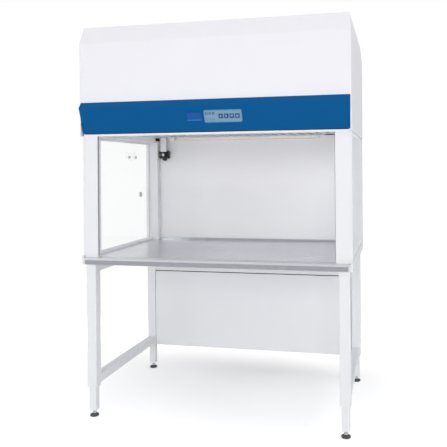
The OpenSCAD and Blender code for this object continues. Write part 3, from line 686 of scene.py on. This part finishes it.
def slab(
    name: str,
    outline: Flat,
    low: float,
    high: float,
    edge: float,
    place: Matrix,
    finish: Finish,
    steps: int = 3,
) -> Piece:
    """Makes a plate with a rounded upper rim.

    Args:
        name: The object's name.
        outline: Its outline, anticlockwise, in mm.
        low: Height of its lower face, in mm.
        high: Height of its upper face, in mm.
        edge: Radius of the upper rim, in mm.
        place: The plane that it lies on, in metres.
        finish: Its surface.
        steps: Faces across the rim.

    Returns:
        The new object, not yet on a body.
    """
    work = bmesh.new()
    levels = [(low, 0.0), (high - edge, 0.0)]
    for i in range(1, steps + 1):
        angle = math.pi / 2 * i / steps
        levels.append((high - edge + edge * math.sin(angle), edge * (1 - math.cos(angle))))
    rings = []
    for height, depth in levels:
        ring = inset(outline, depth) if depth else outline
        rings.append([work.verts.new(place @ (Vector((x, y, height)) * MM)) for x, y in ring])
    skin(work, rings)
    return new_piece(name, work, finish)


@dataclass(frozen=True)
class Stroke:
    """One line of a printed symbol, in mm, open or closed."""

    points: Line
    closed: bool = False
    width: float = 1.3

    def scaled(self, share: float, bold: float) -> "Stroke":
        """Returns the line at another size, its width times bold."""
        points = tuple((x * share, y * share) for x, y in self.points)
        return Stroke(points, self.closed, self.width * bold)

    def draw(self, work: Work, low: float, high: float, place: Matrix) -> None:
        """Adds the line to a mesh as a flat strip of ink.

        Args:
            work: The mesh.
            low: Height of the ink's underside, in mm.
            high: Height of its face, in mm.
            place: The plane that it lies on, in metres.
        """
        count = len(self.points)
        sections = []
        for i, point in enumerate(self.points):
            here = Vector(point)
            last = Vector(self.points[i - 1]) if i or self.closed else None
            following = Vector(self.points[(i + 1) % count]) if i < count - 1 or self.closed else None
            before = (here - last).normalized() if last else (following - here).normalized()
            after = (following - here).normalized() if following else before
            side = Vector((-before.y - after.y, before.x + after.x)).normalized()
            share = max(side.dot(Vector((-before.y, before.x))), INK_MITRE)
            reach = side * self.width / 2 / share
            ring = []
            for end, height in ((reach, low), (-reach, low), (-reach, high), (reach, high)):
                corner = here + end
                ring.append(work.verts.new(place @ (Vector((corner.x, corner.y, height)) * MM)))
            sections.append(ring)
        skin(work, sections, self.closed)


def arc(
    x: float, y: float, radius: float, start: float = 0.0, end: float = 360.0, steps: int = 20
) -> Line:
    """Returns points on an arc, in mm and degrees; a whole turn leaves its last point out."""
    whole = abs(end - start) >= 360
    last = steps if whole else steps - 1
    angles = [math.radians(start + (end - start) * i / last) for i in range(steps)]
    return tuple((x + radius * math.cos(a), y + radius * math.sin(a)) for a in angles)


def petal(turn: float) -> Line:
    """Returns one fan blade's outline, turned about the hub, in mm and degrees."""
    flat = ((1.2, 0.6), (3.0, 3.0), (5.4, 3.6), (6.2, 1.8), (4.6, 0.2), (2.2, -0.4))
    c, s = math.cos(math.radians(turn)), math.sin(math.radians(turn))
    return tuple((x * c - y * s, x * s + y * c) for x, y in flat)


class Symbol(Enum):
    """The plain symbols on the keys: fan, lamp, tube lamp with rays, socket, arrows and list."""

    FAN = (
        Stroke(arc(0, 0, 1.3, steps=12), True),
        Stroke(petal(30), True),
        Stroke(petal(150), True),
        Stroke(petal(270), True),
    )
    LAMP = (
        Stroke(arc(0, 1.4, 4.4, -60, 240, 18)),
        Stroke(((-2.2, -2.4), (-2.2, -4.6), (2.2, -4.6), (2.2, -2.4))),
        Stroke(((-1.4, -6.4), (1.4, -6.4))),
    )
    TUBE = (
        Stroke(((-6.2, 2.2), (6.2, 2.2), (6.2, 5.2), (-6.2, 5.2)), True),
        Stroke(((-4.6, -0.6), (-5.8, -5.4))),
        Stroke(((0.0, -0.6), (0.0, -5.8))),
        Stroke(((4.6, -0.6), (5.8, -5.4))),
    )
    SOCKET = (
        Stroke(arc(0, 0, 6.0, steps=24), True),
        Stroke(arc(-2.4, 0, 0.8, steps=8), True, 0.9),
        Stroke(arc(2.4, 0, 0.8, steps=8), True, 0.9),
    )
    DOWN = (Stroke(((-2.6, 1.6), (0.0, -2.0), (2.6, 1.6)), True, 0.8),)
    UP = (Stroke(((-2.6, -1.6), (2.6, -1.6), (0.0, 2.0)), True, 0.8),)
    LIST = (
        Stroke(((-2.6, 2.0), (2.6, 2.0)), width=0.8),
        Stroke(((-2.6, 0.0), (2.6, 0.0)), width=0.8),
        Stroke(((-2.6, -2.0), (2.6, -2.0)), width=0.8),
    )


def ink(
    name: str, lines: Sequence[Stroke], low: float, place: Matrix, finish: Finish
) -> Piece:
    """Prints lines on a plane as one piece of thin ink.

    Args:
        name: The object's name.
        lines: The lines.
        low: Height of the printed face, in mm.
        place: The plane, in metres.
        finish: The ink's surface.

    Returns:
        The new object, not yet on a body.
    """
    work = bmesh.new()
    under, over = INK_MM
    for line in lines:
        line.draw(work, low - under, low + over, place)
    return new_piece(name, work, finish)


@dataclass
class SubAssembly(ABC):
    """A group of pieces that is built and dressed together."""

    label: str

    @abstractmethod
    def build(self) -> None:
        """Builds and dresses the group's pieces."""


@dataclass
class LevellingFoot:
    """A moulded pad, its threaded stud and its lock nut, in mm."""

    corner: str
    stud_radius: float = 6.0
    stud_length: float = 75.0
    pitch: float = 1.75
    thread_depth: float = 0.55
    rings_a_pitch: int = 6
    stud_play: float = 0.02
    stud_chamfer: float = 1.2
    nut_across: float = 18.7
    nut_height: float = 8.0

    def thread(self, angle: float, height: float, base: float) -> float:
        """Returns the stud's radius on its helical thread."""
        phase = (height / self.pitch - angle / math.tau) % 1.0
        return base - self.thread_depth * abs(2 * phase - 1)

    def hexagon(self, angle: float, height: float, base: float) -> float:
        """Returns the nut's radius: a hexagon with chamfered corners."""
        wedge = (angle + math.pi / 6) % (math.pi / 3) - math.pi / 6
        return min(self.nut_across / 2 / math.cos(wedge), base)

    def build(self) -> None:
        """Builds the foot on its own body."""
        node = self.corner + "_foot"
        low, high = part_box(node)
        place = Matrix.Translation(((low[0] + high[0]) / 2, (low[1] + high[1]) / 2, low[2]))
        r = (high[0] - low[0]) / 2 / MM
        h = (high[2] - low[2]) / MM - self.stud_length
        profile = [
            (0.0, r - 2.2), (0.4, r - 1.6), (1.0, r - 0.9), (2.0, r - 0.2), (3.0, r),
            (h * 0.5, r), (h * 0.56, r - 0.3), (h * 0.62, r - 0.9), (h * 0.67, r - 1.7),
            (h * 0.74, r - 3.4), (h * 0.82, r - 5.4), (h * 0.91, r - 7.6),
            (h * 0.97, r - 8.9), (h - 0.1, r - 9.6), (h, r - 10.2),
        ]
        pad = turned(node + "_pad", profile, round_reach, 64, place, FOOT_NYLON)
        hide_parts(node)
        rise, wall = self.stud_length, self.stud_radius - self.stud_play
        count = int(rise / self.pitch * self.rings_a_pitch)
        stations = [(h - 1 + (rise + 1) * i / count, wall) for i in range(count + 1)]
        stations[-1] = (stations[-1][0], self.stud_radius - self.stud_chamfer)
        stud = turned(node + "_stud", stations, self.thread, 24, place, ZINC)
        tall, wide = self.nut_height, self.nut_across / 2
        corner = wide / math.cos(math.pi / 6)
        rings = [
            (h + 0.05, wide * 0.97), (h + 0.8, corner - 0.5), (h + 1.3, corner),
            (h + tall - 1.3, corner), (h + tall - 0.8, corner - 0.5), (h + tall, wide * 0.97),
        ]
        nut = turned(node + "_nut", rings, self.hexagon, 72, place, ZINC)
        for piece in (pad, stud, nut):
            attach(piece, node)


@dataclass
class Stand(SubAssembly):
    """Side frames, cross rail, rear panel, bolts and sliding legs."""

    label: str = "stand"
    leg_share: float = 0.89

    def build(self) -> None:
        """Dresses the stand, and draws its legs in, which leaves a step under each tube."""
        for node in ("left_stand_frame", "right_stand_frame", "rear_cross_rail", "stand_rear_panel"):
            soften(node, SHADED_STAND_COAT, 0.8, BENCH)
        for corner in ("front_left", "front_right", "rear_left", "rear_right"):
            leg = corner + "_leg"
            piece = soften(leg, SHADED_STAND_COAT, 0.6, leg)
            draw_in(piece, centre(leg), self.leg_share, self.leg_share)
            LevellingFoot(corner).build()
        soften("stand_bolts", ZINC, 0.5, BENCH)


@dataclass
class WorkZone(SubAssembly):
    """Base, tray, posts, glass, walls and their seals."""

    label: str = "work zone"
    pane_share: float = 0.88

    def pane(self, node: str) -> None:
        """Stands a thinner copy of a side glass in its place, just clear of the posts.

        Args:
            node: The CAD node.
        """
        piece = copy_of(node, node + "_pane")
        draw_in(piece, centre(node), self.pane_share, 1.0)
        piece.data.materials.append(FLOAT_GLASS.material())
        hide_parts(node)
        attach(piece, BENCH)

    def build(self) -> None:
        """Dresses the work zone."""
        posts = ("front_left_post", "front_right_post", "rear_left_post", "rear_right_post")
        for node in ("base_pan", *posts):
            soften(node, SHADED_STAND_COAT, 0.8, BENCH)
        for node in ("inner_back_wall", "lower_rear_panel", "ceiling_frame", "glazing_beads"):
            dress(node, LIT_WALL_COAT)
        soften("work_tray", TRAY_STEEL, 0.6, BENCH)
        for node in ("left_glass", "right_glass"):
            self.pane(node)
        # Besides real gaskets, the seals hold black strips in narrow gaps, such as over the stand's
        # rear panel, which are painted shade of these gaps
        dress("rubber_seals", RUBBER_AND_PAINTED_SHADE)
        dress("glass_plugs", GREY_RUBBER)


@dataclass
class Hood(SubAssembly):
    """Front cover, sides, roof and rear sheet."""

    label: str = "hood"

    def build(self) -> None:
        """Dresses the hood."""
        for sheet in ("front_cover", "left_side", "right_side", "roof", "rear_panel"):
            soften("hood_" + sheet, WHITE_COAT, 0.5, BENCH)
        dress("roof_grille", ALUMINIUM)


@dataclass
class ControlPanel(SubAssembly):
    """Blue fascia with its display, keypad, keys and lights, in mm on the leaning face."""

    label: str = "control panel"
    lean_deg: float = 21.007
    plate_thickness: float = 1.6
    plate_size: tuple[float, float] = (185.0, 61.0)
    plate_radius: float = 8.0
    key_rise: float = 1.2
    key_side: float = 22.0
    small_side: float = 9.0
    small_row: float = 14.0
    frame_line: float = 0.7
    frame_inset: float = 5.0
    symbol_share: float = 0.78
    symbol_line: float = 1.5
    small_line: float = 0.9
    ring_radius: float = 4.3
    ring_line: float = 3.4
    flange_over: float = 2.4
    flange_levels: tuple[float, float] = (-2.2, -1.0)
    large_margin: float = 2.4
    small_margin: float = 0.8
    screen_size: tuple[float, float] = (79.0, 45.0)
    # Size, set-back and thickness of the dark strip that paints the shadow of the gap under the
    # fascia
    shadow_strip_size: tuple[float, float] = (1310.0, 3.6)
    shadow_strip_back: float = 49.6
    shadow_strip_thickness: float = 1.4

    def plane(self, node: str) -> Matrix:
        """Returns the leaning face's plane under the middle of a plate that lies on it."""
        lean = math.radians(self.lean_deg)
        turn = Matrix.Rotation(math.pi / 2 + lean, 4, "X")
        outward = turn @ Vector((0, 0, 1))
        return Matrix.Translation(centre(node) - outward * self.plate_thickness / 2 * MM) @ turn

    def keys(self) -> list[tuple[str, Symbol, float, float]]:
        """Returns each key's node, its symbol, its height on the face and its side."""
        large, small = self.key_side, self.small_side
        return [
            ("fan_key", Symbol.FAN, 0.0, large),
            ("light_key", Symbol.LAMP, 0.0, large),
            ("uv_lamp_key", Symbol.TUBE, 0.0, large),
            ("socket_key", Symbol.SOCKET, 0.0, large),
            ("down_key", Symbol.DOWN, -self.small_row, small),
            ("up_key", Symbol.UP, -self.small_row, small),
            ("menu_key", Symbol.LIST, -self.small_row, small),
        ]

    def build(self) -> None:
        """Builds and dresses the control panel."""
        soften("control_fascia", BLUE_COAT, 0.9, BENCH)
        soften("keypad_plate", KEY_FILM, 0.35, BENCH)
        dress("indicator_lights", LENS)
        dress("controller_box", DARK_PAINT)
        face = self.plane("keypad_plate")
        middle = centre("keypad_plate").x
        for node, symbol, up, side in self.keys():
            across = (centre(node).x - middle) / MM
            place = face @ Matrix.Translation(Vector((across, up, 0)) * MM)
            self.key(node, symbol, side, place)
        self.screen()
        # The dark strip under the fascia is painted shadow of the gap there
        self.painted_shadow_strip()
        width, height = (side - self.frame_inset for side in self.plate_size)
        frame_ = rounded(width, height, self.plate_radius - 2)
        lines = [Stroke(tuple(frame_), True, self.frame_line)]
        for node in ("down_key", "up_key", "menu_key"):
            across = (centre(node).x - middle) / MM
            lines.append(Stroke(arc(across, self.small_row, self.ring_radius), True, self.ring_line))
        print_ = ink("keypad_print", lines, self.plate_thickness, face, PRINT_BLUE)
        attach(print_, BENCH)

    def key(self, node: str, symbol: Symbol, side: float, place: Matrix) -> None:
        """Builds one key with its printed frame and symbol, on the key's own body.

        Args:
            node: The key's CAD node and body.
            symbol: What is printed on it.
            side: Its side, in mm.
            place: The face under its middle, in metres.
        """
        top = self.plate_thickness + self.key_rise
        large = side > self.small_side
        ground, mark = (PRINT_BLUE, KEY_WINDOW) if large else (KEY_WINDOW, PRINT_BLUE)
        wide, radius = side + self.flange_over, side * 0.1
        low, high = self.flange_levels
        flange = slab(
            node + "_flange", rounded(wide, wide, 1.0), low, high, 0.2, place, ground
        )
        cap = slab(
            node + "_cap", rounded(side, side, radius), high, top, 0.5, place, ground
        )
        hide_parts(node)
        line = self.frame_line if large else self.small_line
        border = side - line - (self.large_margin if large else self.small_margin)
        lines = [Stroke(tuple(rounded(border, border, radius)), True, line)]
        share, bold = (self.symbol_share, self.symbol_line) if large else (1.0, 1.0)
        lines += [stroke.scaled(share, bold) for stroke in symbol.value]
        print_ = ink(node + "_print", lines, top, place, mark)
        for piece in (flange, cap, print_):
            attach(piece, node)

    def painted_shadow_strip(self) -> None:
        """Builds the dark strip that closes the gap under the fascia's lower edge, as painted shadow
        of that gap.
        """
        low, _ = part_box("control_fascia")
        width, height = self.shadow_strip_size
        front = low[1] + self.shadow_strip_back * MM
        place = Matrix.Translation(Vector((0.0, front, low[2] - height / 2 * MM)))
        strip = slab(
            "fascia_painted_shadow_strip", rounded(width, height, 0.8), 0.0, self.shadow_strip_thickness, 0.3,
            place @ UPRIGHT, RUBBER_AND_PAINTED_SHADE,
        )
        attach(strip, BENCH)

    def screen(self) -> None:
        """Builds the display's pane and the moulded rim round it."""
        place = self.plane("display_window")
        width, height = self.screen_size
        pane = slab(
            "display_pane", rounded(width - 4, height - 4, 2.0), 0.0, self.plate_thickness - 0.5, 0.3,
            place, DISPLAY,
        )
        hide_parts("display_window")
        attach(pane, BENCH)
        work = bmesh.new()
        line = Stroke(tuple(rounded(width - 2.6, height - 2.6, 2.6)), True, 2.6)
        line.draw(work, 0.0, self.plate_thickness, place)
        rim = new_piece("display_rim", work, DISPLAY_RIM)
        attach(rim, BENCH)


@dataclass
class AirSystem(SubAssembly):
    """Ceiling grille, filter, pressure box, blower and intake."""

    label: str = "air system"

    def build(self) -> None:
        """Dresses the air system."""
        dress("ceiling_grille", GRILLE_COAT)
        dress("filter_frame", ALUMINIUM)
        dress("filter_pleats", FILTER_PAPER)
        for node in ("pressure_box", "blower_housing", "blower_wheel"):
            dress(node, GALVANISED)
        dress("blower_motor", DARK_PAINT)
        dress("pre_filter", FLEECE)


@dataclass
class Fittings(SubAssembly):
    """Lamps, hanging post with its clamp, and the power inlet."""

    label: str = "fittings"
    knob_radius: float = 37.0
    knob_depth: float = 22.0
    lobe_share: float = 0.27
    disc_share: float = 0.76
    cap_length: float = 16.0
    contact_depth: float = 18.0
    contact_length: float = 12.2
    contact_width: float = 2.3
    contact_places: tuple[tuple[str, float, float, float], ...] = (
        ("left", -7, -4, 0),
        ("middle", 0, 1, 5),
        ("right", 7, -4, 0),
    )

    def build(self) -> None:
        """Dresses the fittings."""
        self.lamp("uv_lamp", QUARTZ)
        self.lamp("work_lamp", OPAL_GLASS)
        soften("lamp_holders", WHITE_ABS, 1.2, BENCH)
        for node in ("clamp_hub", "power_inlet"):
            soften(node, BLACK_ABS, 0.6, BENCH)
        self.knob()
        self.contacts()
        soften("hanging_post", WHITE_COAT, 0.6, BENCH)

    def lamp(self, node: str, glass: Finish) -> None:
        """Builds a tube lamp: its glass and a white cap at each end.

        Args:
            node: The CAD node that it stands for.
            glass: The tube's finish.
        """
        low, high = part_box(node)
        half = (high[0] - low[0]) / 2 / MM
        r = (high[2] - low[2]) / 2 / MM - 0.4
        along = Matrix.Translation(centre(node)) @ Matrix.Rotation(math.pi / 2, 4, "Y")
        body = half - self.cap_length
        wall = [
            (-body, r - 0.2), (-body + 0.4, r), (body - 0.4, r), (body, r - 0.2),
            (body, r - 1.2), (-body, r - 1.2),
        ]
        tube = turned(
            node + "_tube", wall, round_reach, 48, along, glass, hollow=True
        )
        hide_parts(node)
        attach(tube, BENCH)
        inner = body - 2
        rings = [
            (inner, r + 0.1), (inner + 0.3, r + 0.35), (half - 1.2, r + 0.35), (half - 0.3, r),
            (half, r - 1),
        ]
        for side, word in ((-1, "left"), (1, "right")):
            turn = along if side > 0 else along @ Matrix.Rotation(math.pi, 4, "Y")
            name = f"{node}_{word}_cap"
            cap = turned(name, rings, round_reach, 48, turn, WHITE_ABS)
            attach(cap, BENCH)

    def lobes(self, angle: float, _height: float, base: float) -> float:
        """Returns the knob's radius, six lobes round a disc, scaled by a ring's base radius."""
        lobe = self.knob_radius * self.lobe_share
        reach = self.knob_radius - lobe
        near = (angle % (math.pi / 3)) - math.pi / 6
        across = reach * math.sin(near)
        disc = self.knob_radius * self.disc_share
        if abs(across) >= lobe:
            full = disc
        else:
            full = max(disc, reach * math.cos(near) + math.sqrt(lobe**2 - across**2))
        return full * base / self.knob_radius

    def knob(self) -> None:
        """Builds the clamp's lobed knob on its stud, with rounded rims and a recessed cap."""
        node = "clamp_knob"
        low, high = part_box(node)
        middle = centre(node)
        back = low[1]
        place = Matrix.Translation((middle.x, back, middle.z)) @ FACING_BACK
        depth = (high[1] - back) / MM
        r = self.knob_radius
        start = depth - self.knob_depth
        rings = [
            (start, r - 2.6), (start + 0.5, r - 1.4), (start + 1.4, r - 0.4), (start + 3.0, r),
            (depth - 4.0, r), (depth - 2.2, r - 0.5), (depth - 0.9, r - 1.7), (depth - 0.2, r - 3.4),
            (depth, r - 5.2), (depth, r * 0.42), (depth - 1.6, r * 0.40),
        ]
        head = turned("clamp_knob_head", rings, self.lobes, 144, place, BLACK_ABS)
        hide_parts(node)
        rings = [(0.0, 8.2), (0.5, 9.0), (2.5, 9.0), (3.0, 8.6), (3.05, 4.98), (start + 0.5, 4.98)]
        stud = turned("clamp_knob_stud", rings, round_reach, 40, place, ZINC)
        for piece in (head, stud):
            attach(piece, node)

    def contacts(self) -> None:
        """Sheathes the inlet's three blade contacts in brass."""
        _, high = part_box("power_inlet")
        middle = centre("power_inlet")
        back = high[1] - self.contact_depth * MM
        for word, x, low, up in self.contact_places:
            spot = (middle.x + x * MM, back, middle.z + (low + up) / 2 * MM)
            outline = rounded(self.contact_width, up - low + 0.3, 0.3, 3)
            blade = slab(
                f"inlet_{word}_contact", outline, 0.0, self.contact_length, 0.5,
                Matrix.Translation(spot) @ FACING_BACK, BRASS,
            )
            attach(blade, BENCH)


@dataclass
class Studio:
    """Floor, world, lamps and camera."""

    focal_px: float = 605.94
    frame_px: float = 447.0
    centre_px: tuple[float, float] = (262.0, 169.24)
    sensor_mm: float = 36.0
    eye: Point = (0.8621, -3.1645, 1.2329)
    turn: float = 0.2178
    roll: float = -0.0075
    ambient: float = 0.545
    floor_side: float = 240.0
    floor_colour: str = "#f4f4f5"
    card_colours: tuple[str, str] = ("#bec0c4", "#d6d8dc")
    # The glow that lifts the floor is weakest near the object and strongest far off: a painted shadow
    painted_shadow_lift: tuple[float, float] = (0.15, 0.80)
    painted_shadow_reach: tuple[float, float] = (0.15, 2.0)
    fade_reach: tuple[float, float] = (2.2, 4.0)
    shadow_y: float = 0.42
    rear_steepness: float = 2.8
    # Name, place, width and height in metres, power in watts, and the point that it shines at
    softboxes: tuple[tuple[str, Point, tuple[float, float], float, Point], ...] = (
        ("front_softbox", (-0.3, -6.6, 1.7), (5.4, 2.8), 160, (0, 0, 1.1)),
        ("side_softbox", (6.0, -2.0, 4.2), (3.0, 3.0), 82, (0, 0, 1.1)),
        ("work_zone_fill", (0.0, 0.0, 1.12), (1.1, 0.5), 0.36, (0, 0.05, 2.0)),
    )

    def build(self) -> None:
        """Makes the whole studio."""
        self.floor()
        self.world()
        self.lamps()
        self.cards()
        self.camera()

    def distance(self, tree: Tree) -> Socket:
        """Returns how far a point of the floor is from the painted shadow's middle, in metres.

        Behind the middle the distance grows faster, so that the painted shadow is shallower there.
        """
        place = add(tree, "ShaderNodeTexCoord").outputs["Object"]
        spot = add(tree, "ShaderNodeSeparateXYZ", links={0: place}).outputs
        back = maths(tree, "SUBTRACT", spot["Y"], self.shadow_y)
        steep = maths(tree, "MULTIPLY", back, self.rear_steepness)
        depth = maths(tree, "MAXIMUM", maths(tree, "MULTIPLY", back, -1.0), steep)
        flat = add(tree, "ShaderNodeCombineXYZ", links={"X": spot["X"], "Y": depth})
        links = {0: flat.outputs["Vector"]}
        return add(tree, "ShaderNodeVectorMath", links=links, operation="LENGTH").outputs["Value"]

    def floor(self) -> None:
        """Makes a pale floor, which keeps the object's shadow and is white to the camera; near the
        object its glow is weaker, a painted shadow that deepens the real one.
        """
        bpy.ops.mesh.primitive_plane_add(size=self.floor_side, location=(0, 0, -0.3 * MM))
        floor = bpy.context.object
        floor.name = "studio_floor"
        made = bpy.data.materials.new("pale_studio_floor")
        tree = empty_tree(made)
        values = {"Color": srgb(self.floor_colour)}
        matt = add(tree, "ShaderNodeBsdfDiffuse", values).outputs["BSDF"]
        away = self.distance(tree)
        # A weaker glow near the object paints a shadow there
        glow_with_painted_shadow = glow(tree, WHITE, ramp(tree, away, *self.painted_shadow_lift, *self.painted_shadow_reach))
        both = add(tree, "ShaderNodeAddShader", links={0: matt, 1: glow_with_painted_shadow}).outputs["Shader"]
        fade = ramp(tree, away, 0.0, 1.0, *self.fade_reach)
        shown = mixed(tree, fade, both, glow(tree, WHITE))
        surface = mixed(tree, seen(tree), matt, shown)
        add(tree, "ShaderNodeOutputMaterial", links={"Surface": surface})
        floor.data.materials.append(made)

    def world(self) -> None:
        """Makes an even pale sky that is white where it is seen or mirrored."""
        world = bpy.data.worlds.new("studio_sky")
        bpy.context.scene.world = world
        tree = empty_tree(world)
        strength = ramp(tree, seen(tree), self.ambient, 1.0)
        sky = add(tree, "ShaderNodeBackground", {"Color": WHITE}, {"Strength": strength})
        add(tree, "ShaderNodeOutputWorld", links={"Surface": sky.outputs["Background"]})

    def lamps(self) -> None:
        """Hangs the soft lamps, which light the object and aren't seen or mirrored."""
        for name, place, size, power, aim in self.softboxes:
            data = bpy.data.lights.new(name, "AREA")
            data.shape = "RECTANGLE"
            data.size, data.size_y = size
            data.energy = power
            lamp = add_object(name, data)
            lamp.location = place
            lamp.rotation_euler = (Vector(aim) - Vector(place)).to_track_quat("-Z", "Y").to_euler()
            lamp.visible_camera = False
            lamp.visible_glossy = False

    def cards(self) -> None:
        """Stands grey cards before and behind the object, which only polished surfaces mirror."""
        front, rear = self.card_colours
        flat, upright = (0, 0, 0), (math.pi / 2, 0, 0)
        places = (
            ("front_card_low", (0.0, -7.2, 0.001), flat, (24.0, 12.0, 1.0), front),
            ("front_card_high", (0.0, -13.2, 2.5), upright, (24.0, 5.0, 1.0), front),
            ("rear_card_low", (4.4, 7.2, 0.001), flat, (7.0, 11.6, 1.0), rear),
            ("rear_card_high", (4.4, 13.0, 2.5), upright, (7.0, 5.0, 1.0), rear),
        )
        for name, place, turn, size, colour in places:
            made = bpy.data.materials.new(name + "_felt")
            tree = empty_tree(made)
            add(tree, "ShaderNodeOutputMaterial", links={"Surface": glow(tree, srgb(colour))})
            bpy.ops.mesh.primitive_plane_add(size=1, location=place, rotation=turn)
            card = bpy.context.object
            card.name = name
            card.scale = size
            card.visible_camera = False
            card.visible_diffuse = False
            card.visible_transmission = False
            card.visible_shadow = False
            card.data.materials.append(made)

    def camera(self) -> None:
        """Stands the camera at the photograph's viewpoint."""
        data = bpy.data.cameras.new("camera")
        data.sensor_fit = "HORIZONTAL"
        data.sensor_width = self.sensor_mm
        data.lens = self.sensor_mm * self.focal_px / self.frame_px
        data.shift_x = (self.frame_px / 2 - self.centre_px[0]) / self.frame_px
        data.shift_y = (self.centre_px[1] - self.frame_px / 2) / self.frame_px
        camera = add_object("camera", data)
        camera.matrix_world = (
            Matrix.Translation(self.eye)
            @ Matrix.Rotation(self.turn, 4, "Z")
            @ Matrix.Rotation(math.pi / 2, 4, "X")
            @ Matrix.Rotation(self.roll, 4, "Z")
        )
        bpy.context.scene.camera = camera


def main() -> None:
    """Builds every sub-assembly and the studio, in order."""
    logging.basicConfig(level=logging.INFO, format="%(name)s: %(message)s")
    bpy.context.scene.view_settings.view_transform = "Standard"
    for part in (Stand(), WorkZone(), Hood(), ControlPanel(), AirSystem(), Fittings()):
        part.build()
        log.info("built the %s", part.label)
    Studio().build()


if __name__ == "__main__":
    main()
